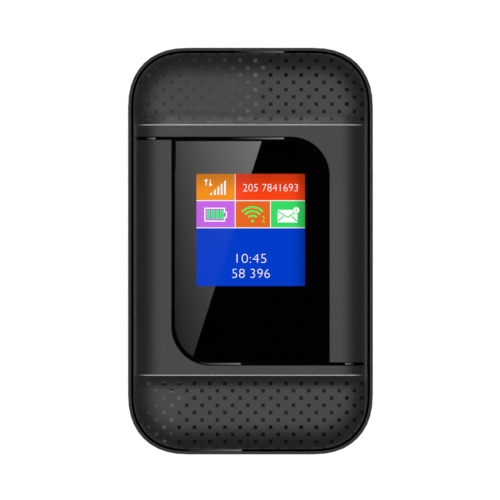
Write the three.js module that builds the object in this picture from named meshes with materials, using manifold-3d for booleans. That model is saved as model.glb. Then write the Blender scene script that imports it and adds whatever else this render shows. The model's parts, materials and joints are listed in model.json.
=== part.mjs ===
// Pocket mobile hotspot, lying on its rear cover with the display up.
// Millimetres, +Z up through the display, +Y towards the top edge, origin at the middle of the rest face.
// The heights are one stack, counted from the rest face, so a thicker piece lifts all that lies above it.

import * as THREE from 'three';
import { mergeVertices } from 'three/addons/utils/BufferGeometryUtils.js';
import Module from 'manifold-3d';

const wasm = await Module();
wasm.setup();

// Driving dimensions of the housing

const bodyWidth = 57.5;
const bodyLength = 95.5;
const cornerReach = 14.1;
const cornerPower = 2.3;
const cornerSteps = 10;

const windowWidth = 35.5;
const windowLength = 52;
const windowCornerRadius = 8.4;
const lensThickness = 1;
const lensDrop = 0.1;

const coverThickness = 1.2;
const grooveWidth = 0.77;
const grooveDepth = 0.45;
const ribGap = 0.2;
const rimWidth = 0.7;
const rimGroove = 0.55;
const rimDrop = 0.2;
const rimChamfer = 0.3;
const shoulderWidth = 7;
const plateauRise = 0.7;
const headCreaseMargin = 2.75;
const footCreaseMargin = 2.25;
const rampWidth = 3.8;

const rearFloor = 1.2;
const rearWall = 1.2;
const rearHeight = 3.6;
const rearEdgeReach = 3;
const frameWall = 1.5;
const chassisFloor = 0.7;

// Driving dimensions of what the housing holds

const displayWidth = 25.5;
const displayHeight = 26.5;
const displayX = 0.1;
const displayY = 4.9;
const panelThickness = 1.2;
const panelSideBorder = 2.2;
const panelTopBorder = 2;
const panelFootBorder = 6.5;
const backlightThickness = 1.2;
const backlightLip = 0.4;

const batteryThickness = 4.6;
const batteryHeadSpace = 8.75;
const batteryCorner = 2;
const batteryEdge = 0.8;
const bayWall = 1;
const bayMargin = 0.65;

const connectorWidth = 10;
const connectorDepth = 2.6;
const connectorHeight = 4.2;
const connectorSetback = 0.9;

const card = { sizeX: 15, sizeY: 12, thickness: 0.76, corner: 2.2, travel: 12 };
const cardGap = 0.1;
const cageWall = 0.2;
const socketMargin = 3.275;

const usbDepth = 5.5;
const usbRecess = 0.6;

const boardThickness = 0.8;
const boardInset = 3.4;
const shieldHeight = 1.15;

const keyTravel = 0.35;
const keyBackGap = 0.15;
const keyFlangeThickness = 0.7;
const plungerLength = 0.6;
const switchSpare = 0.05;
const switchDepth = 2.8;
const resetTravel = 0.25;

// Clearances

const seatGap = 0.2;
const fitGap = 0.3;
const batteryGap = 0.25;
const solderGap = 0.05;
const partingGap = 0.15;
const gasketGap = 0.1;
const bezelSideGap = 0.25;
const bezelSeat = 0.2;
const coverSeat = 0.25;
const boardStandoff = 0.25;
const foamSpace = 0.3;
const lensAirGap = 0.35;
const platformSpace = 0.4;
const antennaSpace = 0.65;
const overrun = 1;

// Heights, from the rest face up

const batteryBottom = rearFloor + batteryGap;
const batteryTop = batteryBottom + batteryThickness;
const floorBottom = batteryTop + batteryGap;
const floorTop = floorBottom + chassisFloor;
const boardBottom = floorTop + boardStandoff;
const boardTop = boardBottom + boardThickness;
const solderBottom = boardBottom - solderGap;
const solderTop = boardTop + solderGap;
const shieldTop = solderTop + shieldHeight;
const backlightBottom = shieldTop + foamSpace;
const backlightTop = backlightBottom + backlightThickness;
const panelBottom = backlightTop + gasketGap;
const panelTop = panelBottom + panelThickness;
const lensBottom = panelTop + lensAirGap;
const lensTop = lensBottom + lensThickness;
const plateauTop = lensTop + lensDrop;

const bezelPlate = 0.75;
const platformWall = 1.1;
const bezelBottom = boardTop + antennaSpace;
const bezelTop = bezelBottom + bezelPlate;
const platformTop = lensBottom - platformSpace;
const coverEdgeTop = bezelTop + coverSeat + coverThickness;
const rimTop = coverEdgeTop - rimDrop;
const ledgeTop = bezelBottom - bezelSeat;
const frameBottom = rearHeight + partingGap;

// Plan places that several pieces share

const halfWidth = bodyWidth / 2;
const halfLength = bodyLength / 2;
const windowHalfX = windowWidth / 2;
const windowHalfY = windowLength / 2;
const headCreaseY = windowHalfY + grooveWidth + headCreaseMargin;
const footCreaseY = windowHalfY + grooveWidth + footCreaseMargin;
const coverInset = rimWidth + rimGroove;
const bezelInset = rimWidth + bezelSideGap;
const platformLapX = 1.9;
const platformLapY = 1.6;
const platformHalfX = windowHalfX + grooveWidth + platformLapX;
const platformHalfY = windowHalfY + grooveWidth + platformLapY;

const panelHalfX = displayWidth / 2 + panelSideBorder;
const panelFoot = displayY - displayHeight / 2 - panelFootBorder;
const panelHead = displayY + displayHeight / 2 + panelTopBorder;
const displayOpening = backlightLip + fitGap;

// Depths of a side key's parts, counted inward from the wall's outer face at 0

const flangeFace = -frameWall - keyBackGap;
const flangeBack = flangeFace - keyFlangeThickness;
const plungerFace = flangeBack - keyBackGap;
const plungerBack = plungerFace - plungerLength;
const switchFace = plungerBack - keyTravel - switchSpare;
const switchBack = switchFace - switchDepth;

// The battery takes the width between the keys' switches, and the length left by its head space,
// the receptacle, the card's cage and the battery's own connector

const cageHalfY = card.sizeY / 2 + cardGap + cageWall;
const usbFace = usbRecess - halfLength;
const socketY = usbFace + usbDepth + socketMargin + cageHalfY;
const connectorHead = socketY + cageHalfY + socketMargin + connectorDepth;
const batteryFoot = connectorHead + connectorSetback;
const batteryLength = halfLength - batteryHeadSpace - batteryFoot;
const batteryY = batteryFoot + batteryLength / 2;
const batteryWidth = bodyWidth + 2 * (switchBack - bayMargin - bayWall - fitGap);

// Solid bodies: made from a geometry, joined, cut, and turned back into a geometry

function toSolid(geometry) {
  geometry.deleteAttribute('normal');
  geometry.deleteAttribute('uv');
  const welded = mergeVertices(geometry);
  return new wasm.Manifold(new wasm.Mesh({
    numProp: 3,
    vertProperties: new Float32Array(welded.attributes.position.array),
    triVerts: new Uint32Array(welded.index.array),
  }));
}

function toGeometry(solid) {
  const mesh = solid.getMesh();
  const geometry = new THREE.BufferGeometry();
  geometry.setAttribute('position', new THREE.BufferAttribute(new Float32Array(mesh.vertProperties), 3));
  geometry.setIndex(new THREE.BufferAttribute(new Uint32Array(mesh.triVerts), 1));
  geometry.computeVertexNormals();
  return geometry;
}

function join(first, ...others) {
  return others.reduce((body, other) => body.add(other), first);
}

function carve(body, ...cutters) {
  return cutters.reduce((rest, cutter) => rest.subtract(cutter), body);
}

// A block between two places on each axis
function block(x0, x1, y0, y1, z0, z1) {
  const geometry = new THREE.BoxGeometry(x1 - x0, y1 - y0, z1 - z0);
  geometry.translate((x0 + x1) / 2, (y0 + y1) / 2, (z0 + z1) / 2);
  return toSolid(geometry);
}

// A block by its middle in plan
function blockAt(x, y, sizeX, sizeY, z0, z1) {
  return block(x - sizeX / 2, x + sizeX / 2, y - sizeY / 2, y + sizeY / 2, z0, z1);
}

// An upright plate or post of a plan shape
function plate(shape, z0, z1, curveSegments = 6) {
  const geometry = new THREE.ExtrudeGeometry(shape, { depth: z1 - z0, bevelEnabled: false, curveSegments });
  geometry.translate(0, 0, z0);
  return toSolid(geometry);
}

// A shape drawn with X across and Y up, extruded along Y from y0 to y1 and standing upright
function wallwise(shape, y0, y1, curveSegments = 4) {
  const geometry = new THREE.ExtrudeGeometry(shape, { depth: y1 - y0, bevelEnabled: false, curveSegments });
  geometry.rotateX(Math.PI / 2);
  geometry.translate(0, y1, 0);
  return toSolid(geometry);
}

function post(x, y, radius, z0, z1, sides = 20) {
  const geometry = new THREE.CylinderGeometry(radius, radius, z1 - z0, sides);
  geometry.rotateX(Math.PI / 2);
  geometry.translate(x, y, (z0 + z1) / 2);
  return toSolid(geometry);
}

// A rectangle with its own radius at each corner, in the order: right foot, right head, left head, left foot
function cornered(x0, x1, y0, y1, radii) {
  const [rightFoot, rightHead, leftHead, leftFoot] = radii;
  const shape = new THREE.Shape();
  shape.moveTo(x0 + leftFoot, y0);
  shape.lineTo(x1 - rightFoot, y0);
  if (rightFoot > 0) shape.absarc(x1 - rightFoot, y0 + rightFoot, rightFoot, -Math.PI / 2, 0, false);
  shape.lineTo(x1, y1 - rightHead);
  if (rightHead > 0) shape.absarc(x1 - rightHead, y1 - rightHead, rightHead, 0, Math.PI / 2, false);
  shape.lineTo(x0 + leftHead, y1);
  if (leftHead > 0) shape.absarc(x0 + leftHead, y1 - leftHead, leftHead, Math.PI / 2, Math.PI, false);
  shape.lineTo(x0, y0 + leftFoot);
  if (leftFoot > 0) shape.absarc(x0 + leftFoot, y0 + leftFoot, leftFoot, Math.PI, 1.5 * Math.PI, false);
  return shape;
}

function rounded(x, y, sizeX, sizeY, radius) {
  const radii = [radius, radius, radius, radius];
  return cornered(x - sizeX / 2, x + sizeX / 2, y - sizeY / 2, y + sizeY / 2, radii);
}

// The body's outline, drawn in by an inset: straight sides and corners of a superellipse

function outline(inset) {
  const reach = cornerReach - inset;
  const middleX = halfWidth - cornerReach;
  const middleY = halfLength - cornerReach;
  const points = [];
  for (let corner = 0; corner < 4; corner += 1) {
    const alongX = corner === 0 || corner === 3 ? 1 : -1;
    const alongY = corner < 2 ? 1 : -1;
    for (let step = 0; step <= cornerSteps; step += 1) {
      const share = alongX * alongY > 0 ? step / cornerSteps : 1 - step / cornerSteps;
      const angle = share * Math.PI / 2;
      const x = middleX + reach * Math.max(Math.cos(angle), 0) ** (2 / cornerPower);
      const y = middleY + reach * Math.max(Math.sin(angle), 0) ** (2 / cornerPower);
      points.push({ x: alongX * x, y: alongY * y });
    }
  }
  return points;
}

function fromTriangles(triangles) {
  const positions = [];
  for (const triangle of triangles) {
    for (const [x, y, z] of triangle) positions.push(x, y, z);
  }
  const geometry = new THREE.BufferGeometry();
  geometry.setAttribute('position', new THREE.Float32BufferAttribute(positions, 3));
  return toSolid(geometry);
}

// A solid through outlines of growing height, each with its own inset
function loft(levels) {
  const rings = levels.map(({ inset, z }) => outline(inset).map(({ x, y }) => [x, y, z]));
  const triangles = [];
  const foot = [0, 0, levels[0].z];
  const head = [0, 0, levels[levels.length - 1].z];
  const count = rings[0].length;
  for (let i = 0; i < count; i += 1) {
    const j = (i + 1) % count;
    for (let level = 0; level + 1 < rings.length; level += 1) {
      const lower = rings[level];
      const upper = rings[level + 1];
      triangles.push([lower[i], lower[j], upper[j]], [lower[i], upper[j], upper[i]]);
    }
    triangles.push([foot, rings[0][j], rings[0][i]]);
    triangles.push([head, rings[rings.length - 1][i], rings[rings.length - 1][j]]);
  }
  return fromTriangles(triangles);
}

function prism(inset, z0, z1) {
  return loft([{ inset, z: z0 }, { inset, z: z1 }]);
}

// The front's curved surface: a shoulder that rises from the edge, a level band at each end,
// and a higher plateau between the two creases, with a hollow ramp beyond each crease

const shoulderShares = [0, 0.05, 0.17, 0.36, 0.64, 1];
const rampShares = [0, 0.28, 0.62, 1];

function surfaceHeight(depth, y) {
  const inward = Math.min(depth / shoulderWidth, 1);
  const shoulder = Math.sqrt(1 - (1 - inward) ** 2);
  const past = y > 0 ? y - headCreaseY : -y - footCreaseY;
  const beyond = Math.min(Math.max(past / rampWidth, 0), 1);
  const top = plateauTop - plateauRise * (1 - (1 - beyond) ** 2);
  return coverEdgeTop + (top - coverEdgeTop) * shoulder;
}

function crossing(a, b, level) {
  const [low, high] = a.y < b.y ? [a, b] : [b, a];
  const share = (level - low.y) / (high.y - low.y);
  return {
    x: low.x + share * (high.x - low.x),
    y: level,
    depth: low.depth + share * (high.depth - low.depth),
  };
}

// The part of a triangle above (side 1) or below (side -1) a level, as a fan of triangles
function clipped(triangle, level, side) {
  const kept = [];
  triangle.forEach((point, index) => {
    const next = triangle[(index + 1) % triangle.length];
    const here = side * (point.y - level);
    const there = side * (next.y - level);
    if (here >= 0) kept.push(point);
    if (here * there < 0) kept.push(crossing(point, next, level));
  });
  const fan = [];
  for (let i = 1; i + 1 < kept.length; i += 1) fan.push([kept[0], kept[i], kept[i + 1]]);
  return fan;
}

function splitAt(triangles, level) {
  return triangles.flatMap((triangle) => {
    const lowest = Math.min(...triangle.map((point) => point.y));
    const highest = Math.max(...triangle.map((point) => point.y));
    if (lowest >= level || highest <= level) return [triangle];
    return [...clipped(triangle, level, 1), ...clipped(triangle, level, -1)];
  });
}

function planTriangles() {
  const rings = shoulderShares.map((share) => {
    const depth = share * shoulderWidth;
    return outline(coverInset + depth).map(({ x, y }) => ({ x, y, depth }));
  });
  const inner = rings[rings.length - 1];
  const middle = { x: 0, y: 0, depth: shoulderWidth };
  let triangles = [];
  for (let i = 0; i < inner.length; i += 1) {
    const j = (i + 1) % inner.length;
    for (let ring = 0; ring + 1 < rings.length; ring += 1) {
      const [near, far] = [rings[ring], rings[ring + 1]];
      triangles.push([near[i], near[j], far[j]], [near[i], far[j], far[i]]);
    }
    triangles.push([inner[i], inner[j], middle]);
  }
  for (const share of rampShares) {
    triangles = splitAt(triangles, headCreaseY + share * rampWidth);
    triangles = splitAt(triangles, -footCreaseY - share * rampWidth);
  }
  return triangles;
}

// A solid between two heights that are given over the plan, closed by an upright edge
function sheet(topAt, bottomAt) {
  const top = ({ x, y, depth }) => [x, y, topAt(depth, y)];
  const bottom = ({ x, y, depth }) => [x, y, bottomAt(depth, y)];
  const plan = planTriangles();
  const triangles = [];
  for (const [a, b, c] of plan) {
    triangles.push([top(a), top(b), top(c)], [bottom(c), bottom(b), bottom(a)]);
    for (const [from, to] of [[a, b], [b, c], [c, a]]) {
      if (from.depth > 0 || to.depth > 0) continue;
      triangles.push([bottom(from), bottom(to), top(to)], [bottom(from), top(to), top(from)]);
    }
  }
  return fromTriangles(triangles);
}

// The window's outline grown by a margin: round at two opposite corners, sharp at the others
function windowShape(grow) {
  const round = windowCornerRadius + grow;
  return cornered(-windowHalfX - grow, windowHalfX + grow, -windowHalfY - grow, windowHalfY + grow,
    [0, round, 0, round]);
}

// The finished pieces

const hotspot = new THREE.Group();

function add(name, solid, color, roughness, metalness = 0) {
  const material = new THREE.MeshStandardMaterial({ color, roughness, metalness });
  const mesh = new THREE.Mesh(toGeometry(solid), material);
  mesh.name = name;
  hotspot.add(mesh);
  return mesh;
}

const satinGrey = 0x4d4d4d;
const rimGrey = 0x3a3a3c;
const glossBlack = 0x0a0a0b;
const plainBlack = 0x1b1b1d;
const springSteel = 0xb9bcc0;
const tinPlate = 0x9ea2a6;
const goldPlate = 0xc9a24a;
const boardGreen = 0x1d4a33;

// Front covers: two L-shaped skins cut from one surface, the second by the same cut turned half a turn

const coverRound = windowCornerRadius + grooveWidth;
const coverSide = windowHalfX + grooveWidth;
const coverHead = windowHalfY + grooveWidth;
const coverFoot = -windowHalfY;

function coverCut() {
  const shape = new THREE.Shape();
  shape.moveTo(-bodyLength, coverHead);
  shape.lineTo(-bodyLength, -bodyLength);
  shape.lineTo(bodyLength, -bodyLength);
  shape.lineTo(bodyLength, coverFoot);
  shape.lineTo(coverSide, coverFoot);
  shape.lineTo(coverSide, coverHead - coverRound);
  shape.absarc(coverSide - coverRound, coverHead - coverRound, coverRound, 0, Math.PI / 2, false);
  return plate(shape, bezelTop - overrun, plateauTop + overrun, 12);
}

const coverSheet = sheet(surfaceHeight, (depth, y) => surfaceHeight(depth, y) - coverThickness);
add('upper_cover', carve(coverSheet, coverCut()), satinGrey, 0.45);
add('lower_cover', carve(coverSheet, coverCut().rotate([0, 0, 180])), satinGrey, 0.45);

// Front bezel: the plate that carries the covers, the platform under the lens, and the trim rib
// that stands in the grooves

const ribHalf = grooveWidth / 2 - ribGap;
const ribMiddleY = windowHalfY + grooveWidth / 2;
const ribRoot = 0.3;
const tailOverlap = 0.5;
const screwRadius = 0.65;
const screwHeadRadius = 1.4;
const screwHeadHeight = 0.7;
const screwClearance = 0.15;
const bossWall = 1.1;
const bossRadius = screwRadius + screwClearance + bossWall;
const bossHoleRadius = bossRadius + fitGap;
const bossFoot = floorTop + partingGap;
const screwEngagement = 0.3;

const upperScrewInset = { side: 10.25, end: 5.15 };
const lowerScrewInset = { side: 7.75, end: 7.25 };

const screwPlaces = [
  { name: 'upper_left', x: upperScrewInset.side - halfWidth, y: halfLength - upperScrewInset.end },
  { name: 'upper_right', x: halfWidth - upperScrewInset.side, y: halfLength - upperScrewInset.end },
  { name: 'lower_left', x: lowerScrewInset.side - halfWidth, y: lowerScrewInset.end - halfLength },
  { name: 'lower_right', x: halfWidth - lowerScrewInset.side, y: lowerScrewInset.end - halfLength },
];

function bezelRib() {
  const ring = windowShape(grooveWidth / 2 + ribHalf);
  ring.holes.push(windowShape(grooveWidth / 2 - ribHalf));
  const rootOnPlatform = platformTop - ribRoot;
  const rootOnPlate = bezelTop - ribRoot;
  const dome = sheet((depth, y) => surfaceHeight(depth, y) - grooveDepth, () => rootOnPlate);
  const stubEnd = platformHalfX - partingGap;
  const tailStart = platformHalfX - tailOverlap;
  const stub = block(-stubEnd, -windowHalfX, ribMiddleY - ribHalf, ribMiddleY + ribHalf,
    rootOnPlatform, plateauTop);
  const tail = block(-halfWidth, -tailStart, ribMiddleY - ribHalf, ribMiddleY + ribHalf,
    rootOnPlate, plateauTop);
  const path = join(plate(ring, rootOnPlatform, plateauTop, 12),
    stub, stub.rotate([0, 0, 180]), tail, tail.rotate([0, 0, 180]));
  return dome.intersect(path);
}

function frontBezel() {
  const flange = prism(bezelInset, bezelBottom, bezelTop);
  const platform = blockAt(0, 0, 2 * platformHalfX, 2 * platformHalfY, bezelBottom, platformTop);
  const hollow = blockAt(0, 0, 2 * (platformHalfX - platformWall), 2 * (platformHalfY - platformWall),
    bezelBottom - overrun, platformTop - platformWall);
  const opening = block(displayX - panelHalfX - displayOpening, displayX + panelHalfX + displayOpening,
    panelFoot - displayOpening, panelHead + displayOpening, bezelBottom, platformTop + overrun);
  const bosses = screwPlaces.map(({ x, y }) => post(x, y, bossRadius, bossFoot, bezelBottom + ribRoot));
  const bores = screwPlaces.map(({ x, y }) => (
    post(x, y, screwRadius + screwClearance, bossFoot - overrun, bezelBottom + screwEngagement)));
  return carve(join(carve(join(flange, platform), hollow, opening), bezelRib(), ...bosses), ...bores);
}

add('front_bezel', frontBezel(), glossBlack, 0.12);

// Window lens and the adhesive frame that holds it on the platform

add('window_lens', plate(windowShape(0), lensBottom, lensTop, 12), glossBlack, 0.05);

const gasketEdge = 0.4;
const gasketShape = windowShape(-gasketEdge);
gasketShape.holes.push(cornered(displayX - panelHalfX - displayOpening - gasketEdge,
  displayX + panelHalfX + displayOpening + gasketEdge,
  panelFoot - displayOpening - gasketEdge, panelHead + displayOpening + gasketEdge, [0, 0, 0, 0]));
add('lens_gasket', plate(gasketShape, platformTop + gasketGap, lensBottom - gasketGap, 8), plainBlack, 0.9);

// Display: glass panel, backlight tray, foam pad, flex and its connector

add('display_panel', block(displayX - panelHalfX, displayX + panelHalfX, panelFoot, panelHead,
  panelBottom, panelTop), 0x14161a, 0.15);

const trayFoot = panelFoot - backlightLip;
const trayHalfX = panelHalfX + backlightLip;
const trayRadius = 0.8;
add('display_backlight', plate(rounded(displayX, (trayFoot + panelHead + backlightLip) / 2, 2 * trayHalfX,
  panelHead + backlightLip - trayFoot, trayRadius), backlightBottom, backlightTop), 0xe8e8e6, 0.5);

const modemShieldRise = 6.1;
const powerShieldDrop = 11.4;
const modemShield = { x: -1, y: displayY + modemShieldRise, sizeX: 28, sizeY: 18 };
const powerShield = { x: 4, y: displayY - powerShieldDrop, sizeX: 20, sizeY: 13 };
const foamEdge = 1;
add('display_foam', blockAt(modemShield.x, modemShield.y, modemShield.sizeX - 2 * foamEdge,
  modemShield.sizeY - 2 * foamEdge, shieldTop + solderGap, backlightBottom - solderGap), 0x2a2a2c, 0.95);

const flexReach = 5.75;
const flexConnector = { y: trayFoot - flexReach, sizeX: 14, sizeY: 3, height: 0.8 };
add('display_connector', blockAt(displayX, flexConnector.y, flexConnector.sizeX, flexConnector.sizeY,
  solderTop, solderTop + flexConnector.height), 0xd9d2bf, 0.6);

const flexWidth = 12;
const flexThickness = 0.15;

// The flex leaves the foot of the backlight tray and comes down in one bend onto its connector
function displayFlex() {
  const start = new THREE.Vector3(0, trayFoot - seatGap, backlightTop - flexThickness);
  const landing = solderTop + flexConnector.height + solderGap + flexThickness / 2;
  const end = new THREE.Vector3(0, flexConnector.y - flexConnector.sizeY / 2, landing);
  const rest = new THREE.Vector3(0, flexConnector.y + flexConnector.sizeY / 2, landing);
  const route = new THREE.CatmullRomCurve3([
    start,
    new THREE.Vector3(0, start.y - flexThickness, (start.z + landing) / 2 + flexThickness),
    rest,
    end,
  ]);
  const steps = 10;
  const middles = route.getPoints(steps);
  const upper = [];
  const lower = [];
  middles.forEach((point, index) => {
    const direction = route.getTangent(index / steps);
    const offsetY = -direction.z * flexThickness / 2;
    const offsetZ = direction.y * flexThickness / 2;
    upper.push(new THREE.Vector2(point.y + offsetY, point.z + offsetZ));
    lower.push(new THREE.Vector2(point.y - offsetY, point.z - offsetZ));
  });
  const geometry = new THREE.ExtrudeGeometry(new THREE.Shape([...upper, ...lower.reverse()]),
    { depth: flexWidth, bevelEnabled: false });
  geometry.rotateX(Math.PI / 2);
  geometry.rotateZ(Math.PI / 2);
  geometry.translate(displayX - flexWidth / 2, 0, 0);
  return toSolid(geometry);
}

add('display_flex', displayFlex(), 0xb06a22, 0.5);

// Main board with its shield cans and chips

const boardHoles = screwPlaces.map(({ x, y }) => (
  post(x, y, bossHoleRadius, boardBottom - overrun, boardTop + overrun)));
add('main_board', carve(prism(boardInset, boardBottom, boardTop), ...boardHoles), boardGreen, 0.5);

const canWall = 0.2;

function shieldCan({ x, y, sizeX, sizeY }) {
  const hollow = blockAt(x, y, sizeX - 2 * canWall, sizeY - 2 * canWall,
    solderTop - overrun, shieldTop - canWall);
  return carve(blockAt(x, y, sizeX, sizeY, solderTop, shieldTop), hollow);
}

add('modem_shield', shieldCan(modemShield), tinPlate, 0.35, 1);
add('power_shield', shieldCan(powerShield), tinPlate, 0.35, 1);

const chipHeight = 0.7;
const modemChipSide = 11;
const memoryChipWidth = 9;
const powerChipSide = 7;
const radioChipSide = 6;
const chips = [
  { name: 'modem_chip', can: modemShield, xShare: -0.22, sizeX: modemChipSide, sizeY: modemChipSide },
  { name: 'memory_chip', can: modemShield, xShare: 0.26, sizeX: memoryChipWidth, sizeY: modemChipSide },
  { name: 'power_chip', can: powerShield, xShare: -0.2, sizeX: powerChipSide, sizeY: powerChipSide },
  { name: 'radio_chip', can: powerShield, xShare: 0.25, sizeX: radioChipSide, sizeY: radioChipSide },
];
for (const { name, can, xShare, sizeX, sizeY } of chips) {
  const chip = blockAt(can.x + xShare * can.sizeX, can.y, sizeX, sizeY, solderTop, solderTop + chipHeight);
  add(name, chip, 0x17181a, 0.6);
}

// Antennas: stamped strips under the bezel, each with a spring leg down to the board

const stripThickness = 0.2;
const stripWidth = 1.2;
const stripTop = bezelBottom - partingGap;

function antenna({ span, depth, teeth }) {
  const stripBottom = stripTop - stripThickness;
  const parts = [block(-span / 2, span / 2, 0, stripWidth, stripBottom, stripTop)];
  for (let tooth = 0; tooth < teeth; tooth += 1) {
    const x = -span / 2 + stripWidth / 2 + tooth * (span - stripWidth) / (teeth - 1);
    parts.push(block(x - stripWidth / 2, x + stripWidth / 2, 0, depth, stripBottom, stripTop));
  }
  parts.push(blockAt(0, stripWidth / 2, stripWidth, stripWidth, solderTop, stripTop));
  return join(...parts);
}

const endAntenna = { span: 24, depth: 4, teeth: 4, inset: 10 };
const sideAntenna = { span: 18, depth: 3, teeth: 3, inset: 7.8 };
const diversity = antenna(endAntenna).translate([0, halfLength - endAntenna.inset, 0]);
add('diversity_antenna', diversity, goldPlate, 0.35, 1);
add('main_antenna', diversity.rotate([0, 0, 180]), goldPlate, 0.35, 1);
const radioAntenna = antenna(sideAntenna)
  .rotate([0, 0, 90])
  .translate([sideAntenna.inset - halfWidth, 0, 0]);
add('radio_antenna', radioAntenna, goldPlate, 0.35, 1);

// Micro-USB receptacle under the board's foot

const usbWidth = 7.5;
const usbHeight = 2.5;
const usbWall = 0.3;
const usbTaperX = 0.8;
const usbTaperZ = 1;
const usbClearance = 0.3;
const usbTop = solderBottom;
const usbBottom = usbTop - usbHeight;

// The receptacle's section: square at the head, tapered towards the foot
function usbSection(grow) {
  const half = usbWidth / 2 + grow;
  const shape = new THREE.Shape();
  shape.moveTo(-half + usbTaperX, usbBottom - grow);
  shape.lineTo(half - usbTaperX, usbBottom - grow);
  shape.lineTo(half, usbBottom - grow + usbTaperZ);
  shape.lineTo(half, usbTop + grow);
  shape.lineTo(-half, usbTop + grow);
  shape.lineTo(-half, usbBottom - grow + usbTaperZ);
  return shape;
}

const usbTube = usbSection(0);
usbTube.holes.push(usbSection(-usbWall));
add('usb_shell', wallwise(usbTube, usbFace, usbFace + usbDepth), springSteel, 0.3, 1);

const tongueGap = 0.1;
const tongueBlock = 1.3;
const tongueWidth = 3.8;
const tongueThickness = 0.6;
const tongueRecess = 0.9;
const tongueEnd = usbFace + usbDepth - tongueGap;
const tongueMiddle = (usbTop + usbBottom) / 2 + tongueGap;
add('usb_tongue', join(
  wallwise(usbSection(-usbWall - tongueGap), tongueEnd - tongueBlock, tongueEnd),
  block(-tongueWidth / 2, tongueWidth / 2, usbFace + tongueRecess, tongueEnd - tongueBlock / 2,
    tongueMiddle - tongueThickness / 2, tongueMiddle + tongueThickness / 2),
), plainBlack, 0.6);

// SIM socket and card under the board, midway between the battery's connector and the receptacle

const connectorBottom = solderBottom - connectorHeight;

const socketBase = 0.4;
const cageLength = 12;
const socketInset = 10.25;
const socketX = socketInset - halfWidth;
const cardX = socketX + cageWall + fitGap;
const cardTop = solderBottom - socketBase - cardGap;
const cardBottom = cardTop - card.thickness;

const socketPlate = block(socketX + cageWall + cardGap, socketX + cageLength,
  socketY - card.sizeY / 2, socketY + card.sizeY / 2, solderBottom - socketBase, solderBottom);
add('sim_socket', socketPlate, 0x232326, 0.7);

const cageOuter = block(socketX, socketX + cageLength, socketY - cageHalfY, socketY + cageHalfY,
  cardBottom - cardGap - cageWall, solderBottom);
const cageInner = block(socketX + cageWall, socketX + cageLength + overrun,
  socketY - cageHalfY + cageWall, socketY + cageHalfY - cageWall,
  cardBottom - cardGap, solderBottom + overrun);
add('sim_cage', carve(cageOuter, cageInner), springSteel, 0.3, 1);

// A bare card with one cut corner
function simCard() {
  const shape = new THREE.Shape();
  shape.moveTo(cardX, socketY - card.sizeY / 2);
  shape.lineTo(cardX + card.sizeX, socketY - card.sizeY / 2);
  shape.lineTo(cardX + card.sizeX, socketY + card.sizeY / 2);
  shape.lineTo(cardX + card.corner, socketY + card.sizeY / 2);
  shape.lineTo(cardX, socketY + card.sizeY / 2 - card.corner);
  return plate(shape, cardBottom, cardTop);
}

add('sim_card', simCard(), 0xe9e9e6, 0.5);

// Battery pack, its connector block and spring contacts

function batteryPack() {
  const geometry = new THREE.ExtrudeGeometry(
    rounded(0, batteryY, batteryWidth, batteryLength, batteryCorner), {
      depth: batteryThickness - 2 * batteryEdge,
      bevelThickness: batteryEdge,
      bevelSize: batteryEdge,
      bevelOffset: -batteryEdge,
      bevelSegments: 3,
      curveSegments: 6,
    });
  geometry.translate(0, 0, batteryBottom + batteryEdge);
  return toSolid(geometry);
}

add('battery', batteryPack(), 0x2b2d31, 0.5);

add('battery_connector', block(-connectorWidth / 2, connectorWidth / 2, connectorHead - connectorDepth,
  connectorHead, connectorBottom, solderBottom), plainBlack, 0.6);

const contactWidth = 0.8;
const contactPitch = 3;
const contactThickness = 0.15;
const contactHeight = 1.6;
const contactGap = 0.1;
const contactNames = ['battery_contact_plus', 'battery_contact_sense', 'battery_contact_minus'];

// A bent blade that leans from the connector block towards the battery's end
function contactBlade(x) {
  const back = connectorHead + contactGap;
  const nose = batteryFoot - contactGap;
  const foot = connectorBottom + contactGap;
  const middle = foot + contactHeight / 2;
  const shape = new THREE.Shape();
  shape.moveTo(back, foot);
  shape.lineTo(nose, middle);
  shape.lineTo(back, foot + contactHeight);
  shape.lineTo(back, foot + contactHeight - 2 * contactThickness);
  shape.lineTo(nose - 2 * contactThickness, middle);
  shape.lineTo(back, foot + 2 * contactThickness);
  const geometry = new THREE.ExtrudeGeometry(shape, { depth: contactWidth, bevelEnabled: false });
  geometry.rotateX(Math.PI / 2);
  geometry.rotateZ(Math.PI / 2);
  geometry.translate(x - contactWidth / 2, 0, 0);
  return toSolid(geometry);
}

contactNames.forEach((name, index) => {
  add(name, contactBlade((index - 1) * contactPitch), goldPlate, 0.3, 1);
});

// Side keys: a cap with a flange behind the wall, and a side-push switch with its plunger.
// Each is laid out with the wall's outer face at y = 0 and the inside at negative y.

const keyLength = 9;
const keyHeight = 2.2;
const keyRound = 1;
const keyRecess = 0.1;
const keyGap = 0.2;
const keyFlangeLap = 0.8;
const keyFlangeLapZ = 0.6;
const plungerWidth = 1.2;
const plungerHeight = 1;
const switchWidth = 4.2;
const switchHeight = 1.5;

const keyZ = solderBottom - switchHeight / 2;
const menuKeyY = 12;
const keyPlaces = [
  { name: 'power', turn: 0, x: 0, y: halfLength },
  { name: 'menu', turn: -90, x: halfWidth, y: menuKeyY },
];

function atKey(solid, { turn, x, y }) {
  return solid.rotate([0, 0, turn]).translate([x, y, 0]);
}

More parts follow.
